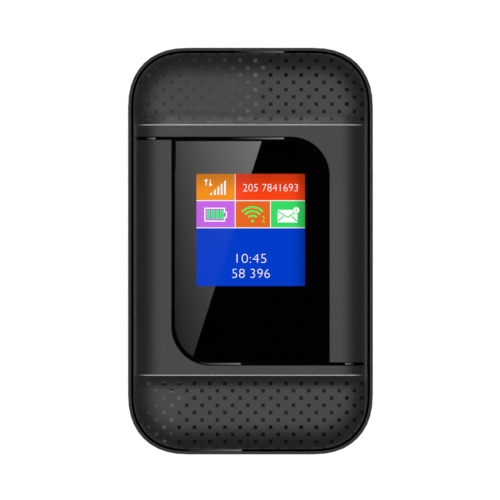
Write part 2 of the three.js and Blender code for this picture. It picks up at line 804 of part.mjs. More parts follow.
for (const place of keyPlaces) {
  const cap = wallwise(rounded(0, keyZ, keyLength, keyHeight, keyRound), flangeBack, -keyRecess);
  const flange = block(-keyLength / 2 - keyFlangeLap, keyLength / 2 + keyFlangeLap, flangeBack, flangeFace,
    keyZ - keyHeight / 2 - keyFlangeLapZ, keyZ + keyHeight / 2 + keyFlangeLapZ);
  add(`${place.name}_key`, atKey(join(cap, flange), place), rimGrey, 0.45);
  const plunger = block(-plungerWidth / 2, plungerWidth / 2, plungerBack, plungerFace,
    keyZ - plungerHeight / 2, keyZ + plungerHeight / 2);
  add(`${place.name}_plunger`, atKey(plunger, place), 0x8c2f2a, 0.5);
  const body = block(-switchWidth / 2, switchWidth / 2, switchBack, switchFace,
    keyZ - switchHeight / 2, keyZ + switchHeight / 2);
  add(`${place.name}_switch`, atKey(body, place), springSteel, 0.35, 1);
}

// Reset switch under the board, pressed from behind once the rear cover is off

const resetInset = 12.75;
const resetX = halfWidth - resetInset;
const resetY = socketY;
const resetBody = 3.2;
const resetHeight = 1.4;
const resetRadius = 0.6;
const resetPin = 0.6;
const resetBottom = solderBottom - resetHeight;
const pinTop = resetBottom - resetTravel - contactGap;
add('reset_switch', blockAt(resetX, resetY, resetBody, resetBody, resetBottom, solderBottom),
  springSteel, 0.35, 1);
add('reset_plunger', post(resetX, resetY, resetRadius, pinTop - resetPin, pinTop, 16), 0xd8d8d4, 0.5);

// Middle frame: the side wall with the port and key openings, the chassis floor and the battery bay

const bayHeight = 4.2;
const pocketLength = keyLength + 2 * keyFlangeLap + 2 * fitGap;
const pocketEdge = 0.2;

function frameBody() {
  const outer = loft([
    { inset: 0, z: frameBottom },
    { inset: 0, z: rimTop - rimChamfer },
    { inset: rimChamfer, z: rimTop },
  ]);
  return carve(outer,
    prism(rimWidth, ledgeTop, rimTop + overrun),
    prism(frameWall, floorTop, ledgeTop + overrun / 2),
    prism(frameWall, frameBottom - overrun, floorBottom));
}

function batteryBay() {
  const inner = rounded(0, batteryY, batteryWidth + 2 * fitGap, batteryLength + 2 * fitGap,
    batteryCorner + fitGap);
  const ring = rounded(0, batteryY, batteryWidth + 2 * (fitGap + bayWall),
    batteryLength + 2 * (fitGap + bayWall), batteryCorner + fitGap + bayWall);
  ring.holes.push(inner);
  return plate(ring, floorBottom - bayHeight, floorBottom + chassisFloor / 2);
}

function frameOpenings() {
  const usbPort = wallwise(usbSection(usbClearance), -halfLength - overrun, -halfLength + 2 * frameWall);
  const usbPocket = block(-usbWidth / 2 - fitGap, usbWidth / 2 + fitGap, frameWall - halfLength,
    usbFace + usbDepth + fitGap, floorBottom - overrun, floorTop + overrun);
  const simBay = block(socketX - fitGap, cardX + card.sizeX + card.travel + fitGap,
    socketY - cageHalfY - fitGap, socketY + cageHalfY + fitGap, floorBottom - overrun, floorTop + overrun);
  const connectorSlot = block(-connectorWidth / 2 - fitGap, connectorWidth / 2 + fitGap,
    connectorHead - connectorDepth - fitGap, batteryFoot,
    floorBottom - bayHeight - overrun, floorTop + overrun);
  const resetHole = blockAt(resetX, resetY, resetBody + 2 * fitGap, resetBody + 2 * fitGap,
    floorBottom - overrun, floorTop + overrun);
  const keyOpenings = keyPlaces.map((place) => {
    const slot = wallwise(rounded(0, keyZ, keyLength + 2 * keyGap, keyHeight + 2 * keyGap,
      keyRound + keyGap), -2 * frameWall, overrun);
    const pocket = block(-pocketLength / 2, pocketLength / 2, switchBack - pocketEdge, -frameWall,
      floorBottom - overrun, floorTop + overrun);
    return atKey(join(slot, pocket), place);
  });
  const screwHoles = screwPlaces.map(({ x, y }) => (
    post(x, y, screwRadius + screwClearance, floorBottom - overrun, floorTop + overrun)));
  return [usbPort, usbPocket, simBay, connectorSlot, resetHole, ...keyOpenings, ...screwHoles];
}

add('middle_frame', carve(join(frameBody(), batteryBay()), ...frameOpenings()), rimGrey, 0.5);

// Housing screws, put in from behind through the chassis floor into the bezel's bosses

const screwTip = bezelBottom + screwEngagement - contactGap;
const screwSeat = floorBottom - solderGap;

function housingScrew({ x, y }) {
  const geometry = new THREE.LatheGeometry([
    new THREE.Vector2(0, screwSeat - screwHeadHeight),
    new THREE.Vector2(screwHeadRadius, screwSeat - screwHeadHeight),
    new THREE.Vector2(screwHeadRadius, screwSeat),
    new THREE.Vector2(screwRadius, screwSeat),
    new THREE.Vector2(screwRadius, screwTip - screwRadius / 2),
    new THREE.Vector2(0, screwTip),
  ], 16);
  geometry.rotateX(Math.PI / 2);
  geometry.translate(x, y, 0);
  return toSolid(geometry);
}

for (const place of screwPlaces) add(`screw_${place.name}`, housingScrew(place), tinPlate, 0.3, 1);

// Rear cover: a shallow tray with a rounded edge, snap tabs inside its rim and a fingernail notch

const rearLevelShares = [0, 0.1, 0.28, 0.55, 1];
const sideTabShares = [-0.63, 0, 0.63];
const endTabShares = [-0.42, 0.42];
const notchShare = -0.5;
const tabWidth = 6;
const tabInset = 1.8;
const tabThickness = 0.9;
const tabTop = 5;
const tabNose = 0.15;
const tabNoseDrop = 0.6;
const tabRoot = 0.6;
const notchRadius = 1;
const notchLength = 8;
const notchReach = 0.2;

// The tray's inset at a height, falling from the edge's reach to nothing as a quarter ellipse
function edgeInset(z, floor, reach) {
  const down = (rearHeight - z) / (rearHeight - floor);
  return reach * (1 - Math.sqrt(Math.max(1 - down ** 2, 0)));
}

function trayLevels(floor, reach, wall) {
  return rearLevelShares.map((share) => {
    const z = floor + share * (rearHeight - floor);
    return { inset: wall + edgeInset(z, floor, reach), z };
  });
}

// A tab's profile with x inward from the frame's outer face, turned to stand inside the rim
function snapTab(distance) {
  const face = distance - tabInset;
  const back = face - tabThickness;
  const shape = new THREE.Shape();
  shape.moveTo(back, rearFloor - tabRoot);
  shape.lineTo(face, rearFloor - tabRoot);
  shape.lineTo(face, tabTop - 2 * tabNoseDrop);
  shape.lineTo(face + tabNose, tabTop - tabNoseDrop);
  shape.lineTo(face, tabTop);
  shape.lineTo(back, tabTop);
  return wallwise(shape, -tabWidth / 2, tabWidth / 2);
}

function rearCover() {
  const outer = loft(trayLevels(0, rearEdgeReach, 0));
  const inner = loft([...trayLevels(rearFloor, rearEdgeReach - rearWall, rearWall),
    { inset: rearWall, z: rearHeight + overrun }]);
  const notch = new THREE.CylinderGeometry(notchRadius, notchRadius, notchLength, 16);
  notch.translate(-halfWidth - notchReach, notchShare * halfLength, 0);
  const scoop = toSolid(notch).translate([0, 0, rearHeight]);
  const tabs = [];
  for (const side of [0, 180]) {
    for (const share of sideTabShares) {
      tabs.push(snapTab(halfWidth).translate([0, share * halfLength, 0]).rotate([0, 0, side]));
    }
    for (const share of endTabShares) {
      tabs.push(snapTab(halfLength).translate([0, share * halfWidth, 0]).rotate([0, 0, side + 90]));
    }
  }
  return carve(join(carve(outer, inner), ...tabs), scoop);
}

add('rear_cover', rearCover(), rimGrey, 0.55);

export default hotspot;
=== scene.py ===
"""Pocket mobile hotspot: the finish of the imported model, its lit display and a plain studio."""

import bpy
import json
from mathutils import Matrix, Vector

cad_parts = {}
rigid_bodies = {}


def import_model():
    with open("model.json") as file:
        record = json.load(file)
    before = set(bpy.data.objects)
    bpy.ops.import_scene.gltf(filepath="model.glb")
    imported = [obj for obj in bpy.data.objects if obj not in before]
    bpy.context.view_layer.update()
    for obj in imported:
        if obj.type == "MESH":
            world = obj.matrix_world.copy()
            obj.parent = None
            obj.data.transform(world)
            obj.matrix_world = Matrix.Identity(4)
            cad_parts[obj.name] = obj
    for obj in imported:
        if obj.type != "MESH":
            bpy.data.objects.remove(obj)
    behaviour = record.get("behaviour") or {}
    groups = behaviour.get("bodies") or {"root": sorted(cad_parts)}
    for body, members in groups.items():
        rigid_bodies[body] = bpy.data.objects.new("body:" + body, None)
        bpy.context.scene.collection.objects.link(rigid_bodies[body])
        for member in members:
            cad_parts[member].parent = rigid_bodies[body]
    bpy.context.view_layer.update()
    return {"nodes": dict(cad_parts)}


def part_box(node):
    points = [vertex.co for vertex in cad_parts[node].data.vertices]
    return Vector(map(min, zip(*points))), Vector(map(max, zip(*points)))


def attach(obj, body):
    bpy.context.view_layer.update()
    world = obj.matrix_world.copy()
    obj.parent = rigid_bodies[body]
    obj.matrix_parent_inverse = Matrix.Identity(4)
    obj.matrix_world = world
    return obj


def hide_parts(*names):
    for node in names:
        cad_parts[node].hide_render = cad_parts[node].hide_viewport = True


bl_info = {
    "name": "Pocket Hotspot",
    "version": (1, 0, 0),
    "blender": (4, 5, 0),
    "location": "3D View > Sidebar > Hotspot",
    "description": "Finishes the packed hotspot: covers, window, display, frame and studio",
    "category": "Object",
}

import json
import math

import bmesh
import bpy
from bmesh.types import BMEdge, BMFace, BMVert
from bpy.props import FloatProperty, FloatVectorProperty, IntProperty, PointerProperty
from mathutils import Matrix, Vector

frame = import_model()

MM = 0.001
FULL_TURN = 2 * math.pi
QUARTER = math.pi / 2
WELD = 0.001 * MM
FLAT_ANGLE = math.radians(0.6)

FRAME_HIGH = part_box("middle_frame")[1]
COVER_LOW, COVER_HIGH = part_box("upper_cover")
LENS_LOW, LENS_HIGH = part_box("window_lens")
BATTERY_LOW, BATTERY_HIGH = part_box("battery")

# How a shown shade from 0 to 1 becomes linear light
SHADE_OFFSET = 0.055
SHADE_POWER = 2.4
SHADE_DIVISOR = 12.92
DARKEST_CURVED = 11

REFRACTION = 1.5
NOISE_ROUGHNESS = 0.55

# The upward part of a face's normal, which is more than this for a level and for an outer face, and less
# than this for an upright one
LEVEL_FACE = 0.99
OUTER_FACE = 0.5
UPRIGHT_FACE = 0.1


def length(name, millimetres, description):
    """A size in metres, given in millimetres."""
    return FloatProperty(name=name, description=description, default=millimetres * MM, unit="LENGTH")


def tint(name, shown, description):
    """A colour given as it is shown, each part from 0 to 255, and kept as linear light."""
    linear = [part / 255 / SHADE_DIVISOR if part < DARKEST_CURVED
              else ((part / 255 + SHADE_OFFSET) / (1 + SHADE_OFFSET)) ** SHADE_POWER for part in shown]
    return FloatVectorProperty(name=name, description=description, subtype="COLOR", default=linear,
                               min=0, max=1)


# Sizes and colours that a user would change


class ShellSizes(bpy.types.PropertyGroup):
    """Sizes of the covers, the frame's outline and the trim"""

    corner_reach: length("Corner reach", 14.1, "How far a corner of the outline reaches along each side")
    corner_power: FloatProperty(name="Corner power", description="Power of the corner's superellipse",
                                default=2.3)
    corner_steps: IntProperty(name="Corner steps", description="Straight steps in one corner", default=22)
    shoulder_width: length("Shoulder width", 7, "Width of the covers' curved shoulder")
    shoulder_steps: IntProperty(name="Shoulder steps", description="Rings across the shoulder", default=14)
    cover_thickness: length("Cover thickness", 1.2, "Depth of the moulded covers")
    plateau_rise: length("Plateau rise", 0.7, "Rise of the middle over the two end bands")
    head_margin: length("Head margin", 2.75, "From the groove above the window to the upper crease")
    foot_margin: length("Foot margin", 2.25, "From the groove below the window to the lower crease")
    crease_round: length("Crease round", 0.12, "Half the width of the rounded crease")
    ramp_width: length("Ramp width", 3.8, "Width of the hollow ramp beyond a crease")
    ramp_steps: IntProperty(name="Ramp steps", description="Strips across the ramp", default=12)
    groove_width: length("Groove width", 0.77, "Width of the groove round the window")
    window_round: length("Window round", 8.4, "Radius of the window's two round corners")
    edge_round: length("Edge round", 0.08, "Rounding of the covers' edges at the groove")
    edge_strip: length("Edge strip", 0.25, "Strip beside the groove that stays true to the surface")
    brim_width: length("Brim width", 0.5, "Width of the duller brim along a cover's outer edge")
    dot_side: length("Dot side", 0.86, "Side of a square inlay")
    dot_row_pitch: length("Dot row pitch", 1.705, "Distance between two rows of inlays")
    dot_column_pitch: length("Dot column pitch", 3.566, "Distance between two inlays of a row")
    dot_first_row: length("First dot row", 30.98, "Distance of the first row from the middle")
    dot_phase: length("Dot phase", 1.166, "Offset of the first column from the middle")
    dot_margin: length("Dot margin", 1.1, "No inlay's middle lies nearer than this to a long side")
    dot_pocket: length("Dot pocket", 0.16, "Depth of the pocket that holds an inlay")
    dot_gap: length("Dot gap", 0.015, "Gap round an inlay")
    dot_drop: length("Dot drop", 0.025, "How far an inlay lies below the cover's surface")


class DisplaySizes(bpy.types.PropertyGroup):
    """Places and sizes on the lit display, from its upper left corner"""

    width: length("Width", 25.34, "Width of the lit area")
    height: length("Height", 26.2, "Height of the lit area")
    middle_x: length("Middle X", 0.05, "Middle of the lit area across")
    middle_y: length("Middle Y", 4.95, "Middle of the lit area along")
    first_column: length("First column", 9.05, "Line between the first and second column of tiles")
    second_column: length("Second column", 17.3, "Line between the second and third column of tiles")
    first_row: length("First row", 6.25, "Line below the upper tiles")
    second_row: length("Second row", 12.6, "Line below the middle tiles")
    line_width: length("Line width", 0.19, "Width of the white lines between tiles")
    sign_height: length("Sign height", 0.02, "How far the signs stand over the window")


class FinishColours(bpy.types.PropertyGroup):
    """Colours of the finishes"""

    cover: tint("Covers", (25, 25, 26), "Satin moulded covers")
    # The crease colour is a painted highlight: a pale line along the covers' rounded crease
    crease: tint("Crease", (172, 172, 172), "Painted highlight along the crease")
    frame: tint("Frame", (30, 30, 31), "Fine textured side wall")
    rear: tint("Rear cover", (34, 34, 35), "Textured rear cover")
    gloss: tint("Gloss black", (3, 3, 3), "Window and trim")
    inlay: tint("Inlays", (18, 18, 18), "Square inlays in the bands")
    orange: tint("Orange tile", (242, 142, 15), "Signal tile")
    red: tint("Red tile", (248, 66, 18), "Name tile")
    purple: tint("Purple tile", (198, 98, 230), "Battery tile")
    rust: tint("Rust tile", (231, 103, 30), "Radio tile")
    green: tint("Green tile", (54, 220, 100), "Message tile")
    blue: tint("Blue tile", (0, 60, 200), "Clock tile")
    sign: tint("White signs", (255, 255, 255), "White signs and lines")
    lime: tint("Green signs", (0, 240, 96), "Green signs")
    floor: tint("Floor", (246, 246, 246), "Plain pale floor")


def shell():
    """The sizes of the covers, the outline and the trim."""
    return bpy.context.scene.hotspot_shell


def display():
    """The places and sizes on the lit display."""
    return bpy.context.scene.hotspot_display


def colours():
    """The colours of the finishes."""
    return bpy.context.scene.hotspot_colours


# The plan outline and the covers' curved surface


def outline_count():
    """How many points the outline has."""
    return 4 * (shell().corner_steps + 1)


def outline_place(index, inset, z):
    """The outline's point of that index, drawn in by an inset."""
    s = shell()
    corner, step = divmod(index, s.corner_steps + 1)
    along_x = 1 if corner in (0, 3) else -1
    along_y = 1 if corner < 2 else -1
    share = step / s.corner_steps
    angle = QUARTER * (share if along_x * along_y > 0 else 1 - share)
    reach = s.corner_reach - inset
    power = 2 / s.corner_power
    x = FRAME_HIGH.x - s.corner_reach + reach * max(math.cos(angle), 0) ** power
    y = FRAME_HIGH.y - s.corner_reach + reach * max(math.sin(angle), 0) ** power
    return Vector((along_x * x, along_y * y, z))


def inset_at(x, y):
    """How far inside the frame's outline a place lies."""
    s = shell()
    across = max(abs(x) - FRAME_HIGH.x + s.corner_reach, 0)
    along = max(abs(y) - FRAME_HIGH.y + s.corner_reach, 0)
    return s.corner_reach - (across ** s.corner_power + along ** s.corner_power) ** (1 / s.corner_power)


def cover_inset():
    """How far the covers' outer edge lies inside the frame's outline."""
    return FRAME_HIGH.x - COVER_HIGH.x


def crease_y(upper=True):
    """Distance of the upper or the lower crease from the middle."""
    s = shell()
    return LENS_HIGH.y + s.groove_width + (s.head_margin if upper else s.foot_margin)


def surface_height(x, y, upper=None):
    """Height of the covers' outer surface over the rest face. The end is told by y if it isn't given."""
    s = shell()
    upper = y > 0 if upper is None else upper
    edge_top = COVER_LOW.z + s.cover_thickness
    depth = inset_at(x, y) - cover_inset()
    inward = min(max(depth / s.shoulder_width, 0), 1)
    rise = math.sqrt(1 - (1 - inward) ** 2)
    beyond = abs(y) - crease_y(upper)
    if beyond < -s.crease_round:
        drop = 0.0
    elif beyond < s.crease_round:
        steepest = 2 * s.plateau_rise / s.ramp_width * (1 - s.crease_round / s.ramp_width)
        drop = steepest * (beyond + s.crease_round) ** 2 / (4 * s.crease_round)
    else:
        share = min(beyond / s.ramp_width, 1)
        drop = s.plateau_rise * (1 - (1 - share) ** 2)
    return edge_top + (COVER_HIGH.z - drop - edge_top) * rise


# Mesh tools


def ring(bm, inset, z):
    """A closed loop of edges along the outline."""
    made = bmesh.ops.create_circle(bm, cap_ends=False, segments=outline_count(), radius=1)["verts"]
    for index, vert in enumerate(made):
        vert.co = outline_place(index, inset, z)
    return list(dict.fromkeys(edge for vert in made for edge in vert.link_edges))


def rings(bm, levels):
    """Bridged outline loops through (inset, z) levels. Returns the loops."""
    loops = [ring(bm, inset, z) for inset, z in levels]
    for lower, upper in zip(loops, loops[1:]):
        bmesh.ops.bridge_loops(bm, edges=lower + upper)
    return loops


def only(kind, items):
    """The items of one kind."""
    return [item for item in items if isinstance(item, kind)]


def move(bm, way, verts=None):
    """Moves corners, all of them if none are given."""
    bmesh.ops.translate(bm, verts=bm.verts[:] if verts is None else verts, vec=way)


def half_turn(bm):
    """Turns a mesh half round about the upright axis."""
    bmesh.ops.rotate(bm, cent=(0, 0, 0), matrix=Matrix.Rotation(math.pi, 3, "Z"), verts=bm.verts[:])


def sweep(bm, geom, centre, angle, steps):
    """Sweeps parts about an upright axis and returns where they end."""
    return bmesh.ops.spin(bm, geom=geom, cent=centre, axis=(0, 0, 1), dvec=(0, 0, 0), angle=angle,
                          steps=steps, use_duplicate=False)["geom_last"]


def weld(bm):
    """Merges corners that lie in one place."""
    bmesh.ops.remove_doubles(bm, verts=bm.verts[:], dist=WELD)


def with_edges(faces):
    """Faces with their edges and corners, always in the same order."""
    edges = dict.fromkeys(edge for face in faces for edge in face.edges)
    verts = dict.fromkeys(vert for face in faces for vert in face.verts)
    return [*verts, *edges, *faces]


def bisect(bm, place, normal, faces=None, clear=False):
    """Cuts faces along a plane, all of them if none are given, and may clear what lies beyond it."""
    geom = with_edges(bm.faces[:] if faces is None else faces)
    bmesh.ops.bisect_plane(bm, geom=geom, dist=WELD / 10, plane_co=place, plane_no=normal,
                           clear_outer=clear)


def cut(bm, axis, place, faces=None):
    """Cuts faces across X or Y at a place."""
    normal = Vector((1, 0, 0) if axis == "X" else (0, 1, 0))
    bisect(bm, place * normal, normal, faces)


def drop_faces(bm, doomed):
    """Removes faces and what only they used."""
    bmesh.ops.delete(bm, geom=doomed, context="FACES")


def lift(bm, faces, height):
    """Extrudes a sheet up into a closed solid and returns the upper faces."""
    made = bmesh.ops.extrude_face_region(bm, geom=faces)["geom"]
    move(bm, (0, 0, height), only(BMVert, made))
    bmesh.ops.recalc_face_normals(bm, faces=bm.faces[:])
    return only(BMFace, made)


def round_edges(bm, edges, width, segments=3):
    """Rounds edges over a width on both sides."""
    bmesh.ops.bevel(bm, geom=edges, offset=width, offset_type="OFFSET", segments=segments, profile=0.5,
                    affect="EDGES", material=-1, clamp_overlap=True)


def level_faces(bm):
    """Faces that look straight up."""
    return [face for face in bm.faces if face.normal.z > LEVEL_FACE]


def border_flat(bm, width):
    """Insets the level upper faces so that their middle is shaded flat."""
    bm.normal_update()
    bmesh.ops.inset_region(bm, faces=level_faces(bm), thickness=width, use_even_offset=True,
                           use_boundary=True)
    bm.normal_update()


def sharp_edges(bm, degrees, low=-math.inf, high=math.inf):
    """Edges whose faces turn by more than an angle, between two heights."""
    bm.normal_update()
    limit = math.radians(degrees)
    return [edge for edge in bm.edges if len(edge.link_faces) == 2 and edge.calc_face_angle(0) > limit
            and all(low < vert.co.z < high for vert in edge.verts)]


def stored(name, bm):
    """Keeps a worked shape as a mesh."""
    mesh = bpy.data.meshes.new(name)
    bm.to_mesh(mesh)
    bm.free()
    return mesh


def placed(name, data):
    """Puts an object into the scene."""
    item = bpy.data.objects.new(name, data)
    bpy.context.scene.collection.objects.link(item)
    return item


def finish(name, bm, materials, body, slot, *replaced, smooth=32):
    """Makes a mesh the object of a piece, smooth below an angle in degrees, that rides on its body."""
    weld(bm)
    mesh = stored(name, bm)
    mesh.shade_smooth()
    mesh.set_sharp_from_angle(angle=math.radians(smooth))
    piece = placed(name, mesh)
    weighted = piece.modifiers.new("weighted normals", "WEIGHTED_NORMAL")
    weighted.keep_sharp = True
    for material in materials:
        mesh.materials.append(material)
    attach(piece, body)
    if replaced:
        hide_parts(*replaced)


def node_copy(node):
    """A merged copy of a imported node's mesh, with its flat faces made whole."""
    bm = bmesh.new()
    bm.from_mesh(frame["nodes"][node].data)
    weld(bm)
    bmesh.ops.dissolve_limit(bm, angle_limit=FLAT_ANGLE, verts=bm.verts[:], edges=bm.edges[:])
    bm.normal_update()
    return bm


# Materials, each a Principled shader with its detail worked out on Object coordinates

# Places of the colours among a Mix node's sockets
MIX_COLOURS = (6, 7)
MIX_RESULT = 2


class Finish:
    """Builds one material's nodes."""

    def __init__(self, name, colour, roughness, metallic=0.0):
        self.material = bpy.data.materials.new(name)
        self.material.use_nodes = True
        self.nodes = self.material.node_tree.nodes
        self.links = self.material.node_tree.links
        self.shader = self.nodes["Principled BSDF"].inputs
        self.set("Base Color", (*colour, 1))
        self.set("Roughness", roughness)
        self.set("Metallic", metallic)
        self.set("IOR", REFRACTION)
        self.colour = tuple(colour)
        self.roughness = roughness
        self.place = self.nodes.new("ShaderNodeTexCoord").outputs["Object"]

    def node(self, kind, **values):
        """A new node with its settings."""
        made = self.nodes.new(kind)
        for key, value in values.items():
            setattr(made, key, value)
        return made

    def set(self, socket, value):
        """Gives the shader a constant."""
        self.shader[socket].default_value = value

    def link(self, source, target):
        """Links a socket to another, or to the shader's socket of that name."""
        self.links.new(source, self.shader[target] if isinstance(target, str) else target)

    def noise(self, size, detail=3.0, stretch=(1, 1, 1)):
        """Noise whose features measure about one size."""
        mapping = self.node("ShaderNodeMapping")
        mapping.inputs["Scale"].default_value = [part / size for part in stretch]
        self.link(self.place, mapping.inputs["Vector"])
        texture = self.node("ShaderNodeTexNoise")
        texture.inputs["Scale"].default_value = 1
        texture.inputs["Detail"].default_value = detail
        texture.inputs["Roughness"].default_value = NOISE_ROUGHNESS
        self.link(mapping.outputs["Vector"], texture.inputs["Vector"])
        return texture.outputs["Fac"]

    def mapped(self, value, from_low, from_high, to_low, to_high, smooth=False):
        """A value carried from one range to another and held inside it."""
        node = self.node("ShaderNodeMapRange", clamp=True)
        if smooth:
            node.interpolation_type = "SMOOTHSTEP"
        for key, number in (("From Min", from_low), ("From Max", from_high),
                            ("To Min", to_low), ("To Max", to_high)):
            node.inputs[key].default_value = number
        self.link(value, node.inputs["Value"])
        return node.outputs["Result"]

    def math(self, operation, first, second):
        """Works out an operation on two values, each a number or a socket."""
        node = self.node("ShaderNodeMath", operation=operation)
        for socket, value in zip(node.inputs, (first, second)):
            if isinstance(value, (int, float)):
                socket.default_value = value
            else:
                self.link(value, socket)
        return node.outputs["Value"]

    def blend(self, share, first, second):
        """A colour between two, each a colour or a socket."""
        node = self.node("ShaderNodeMix", data_type="RGBA")
        self.link(share, node.inputs["Factor"])
        for place, value in zip(MIX_COLOURS, (first, second)):
            if isinstance(value, tuple):
                node.inputs[place].default_value = (*value[:3], 1)
            else:
                self.link(value, node.inputs[place])
        return node.outputs[MIX_RESULT]

    def axis(self, name):
        """The place along X, Y or Z."""
        node = self.node("ShaderNodeSeparateXYZ")
        self.link(self.place, node.inputs["Vector"])
        return node.outputs[name]

    def vary_colour(self, value, spread):
        """Lets the colour swing by a share of itself with a value from 0 to 1."""
        dark = tuple(part * (1 - spread) for part in self.colour)
        light = tuple(min(part * (1 + spread), 1) for part in self.colour)
        self.link(self.blend(value, dark, light), "Base Color")

    def vary_roughness(self, value, spread):
        """Lets the roughness swing by an amount with a value from 0 to 1."""
        low = max(self.roughness - spread, 0)
        high = min(self.roughness + spread, 1)
        self.link(self.mapped(value, 0, 1, low, high), "Roughness")

    def bump(self, value, height, strength):
        """Relief of a height in metres."""
        node = self.node("ShaderNodeBump")
        node.inputs["Distance"].default_value = height
        node.inputs["Strength"].default_value = strength
        self.link(value, node.inputs["Height"])
        self.link(node.outputs["Normal"], "Normal")


# Where the middle part of a noise starts and ends
NOISE_LOW, NOISE_HIGH = 0.3, 0.7
CLOUD_SIZE = 9 * MM
GRAIN_ROUGHNESS = 0.06
GRAIN_STRENGTH = 0.35


def moulded(name, colour, roughness, grain, height, spread=0.08):
    """Textured plastic with a fine grain, of a size and height in millimetres, and slow cloudiness."""
    made = Finish(name, colour, roughness)
    spark = made.noise(grain * MM, detail=4)
    cloud = made.noise(CLOUD_SIZE, detail=2)
    made.vary_colour(made.mapped(cloud, NOISE_LOW, NOISE_HIGH, 0, 1), spread)
    rough = made.math("MULTIPLY", made.mapped(spark, NOISE_LOW, NOISE_HIGH, 0, 1), cloud)
    made.vary_roughness(rough, GRAIN_ROUGHNESS)
    made.bump(spark, height * MM, GRAIN_STRENGTH)
    return made


WIPE_SIZE = 2.5 * MM
WIPE_STRETCH = (1, 0.12, 1)
WIPE_TINT = 0.15


def glossy(name, colour, roughness, spread=0.015):
    """Polished plastic with faint wiping marks."""
    made = Finish(name, colour, roughness)
    wipes = made.noise(WIPE_SIZE, detail=2, stretch=WIPE_STRETCH)
    made.vary_roughness(wipes, spread)
    made.vary_colour(wipes, WIPE_TINT)
    return made


LINE_SIZE = 0.12 * MM
LINE_STRETCH = (1, 0.06, 1)
LINE_HEIGHT = 0.004 * MM
LINE_STRENGTH = 0.3
STAIN_SIZE = 3 * MM
STAIN_LOW, STAIN_HIGH = 0.35, 0.65
METAL_SPREAD = 0.1


def metal(name, colour, roughness):
    """Rolled or plated metal with fine lines and a few stains."""
    made = Finish(name, colour, roughness, metallic=1.0)
    lines = made.noise(LINE_SIZE, stretch=LINE_STRETCH)
    stains = made.noise(STAIN_SIZE)
    made.vary_colour(made.mapped(stains, STAIN_LOW, STAIN_HIGH, 0, 1), METAL_SPREAD)
    made.vary_roughness(lines, METAL_SPREAD)
    made.bump(lines, LINE_HEIGHT, LINE_STRENGTH)
    return made


# Where the crease's painted highlight fades out, from the covers' sides, and the noise that breaks it into
# patches
CREASE_FADE = (4 * MM, 0.8 * MM)
CREASE_HIGHLIGHT_MOTTLE_SIZE = 1.2 * MM
CREASE_HIGHLIGHT_MOTTLE = (0.2, 0.6, 0.75, 1)

# Mirroring of the finishes that haven't the usual 0.5
BRIM_MIRROR = 0.2
INLAY_MIRROR = 0.0825
FRAME_MIRROR = 0.3
DISPLAY_MIRROR = 0.05


def painted_crease_highlight(c):
    """The covers' plastic with a painted highlight: a paler edge along the crease that fades into the
    shoulders.
    """
    made = moulded("cover_crease", c.cover, 0.34, 0.16, 0.006)
    across = made.node("ShaderNodeMath", operation="ABSOLUTE")
    made.link(made.axis("X"), across.inputs[0])
    start, end = (COVER_HIGH.x - inward for inward in CREASE_FADE)
    fade = made.mapped(across.outputs["Value"], start, end, 1, 0, smooth=True)
    highlight_mottle = made.noise(CREASE_HIGHLIGHT_MOTTLE_SIZE)
    share = made.math("MULTIPLY", fade, made.mapped(highlight_mottle, *CREASE_HIGHLIGHT_MOTTLE))
    # Painted highlight: the crease colour blended over the cover colour
    made.link(made.blend(share, tuple(c.cover), tuple(c.crease)), "Base Color")
    return made.material


def brim_finish(c):
    """The covers' plastic at the outer edge, where it mirrors less."""
    made = moulded("cover_brim", c.cover, 0.42, 0.16, 0.012)
    made.set("Specular IOR Level", BRIM_MIRROR)
    return made.material


def inlay_finish(c):
    """Dark, faintly clouded polish of the square inlays."""
    made = glossy("inlay_gloss", c.inlay, 0.02, 0.008)
    made.set("Specular IOR Level", INLAY_MIRROR)
    return made.material


# Covers

SKIN, CREASE, BRIM = range(3)

# Marks the faces that become inlays until every face gets its material
DOTTED = 2

# Width of the crease's painted highlight band over that of its rounding
CREASE_BAND = 1.2


def dot_places(low, high, pitch, first):
    """Middles of a row of equal steps that lie between two places."""
    start = math.ceil((low - first) / pitch)
    end = math.floor((high - first) / pitch)
    return [first + step * pitch for step in range(start, end + 1)]


def on_dot(x, y, phase):
    """True where the staggered pattern of an end band has an inlay."""
    s = shell()
    row = round((y - s.dot_first_row) / s.dot_row_pitch)
    if row < 0 or abs(y - s.dot_first_row - row * s.dot_row_pitch) > s.dot_side / 2:
        return False
    shift = phase + (row % 2) * s.dot_column_pitch / 2
    middle = shift + round((x - shift) / s.dot_column_pitch) * s.dot_column_pitch
    return abs(middle) < COVER_HIGH.x - s.dot_margin and abs(x - middle) < s.dot_side / 2


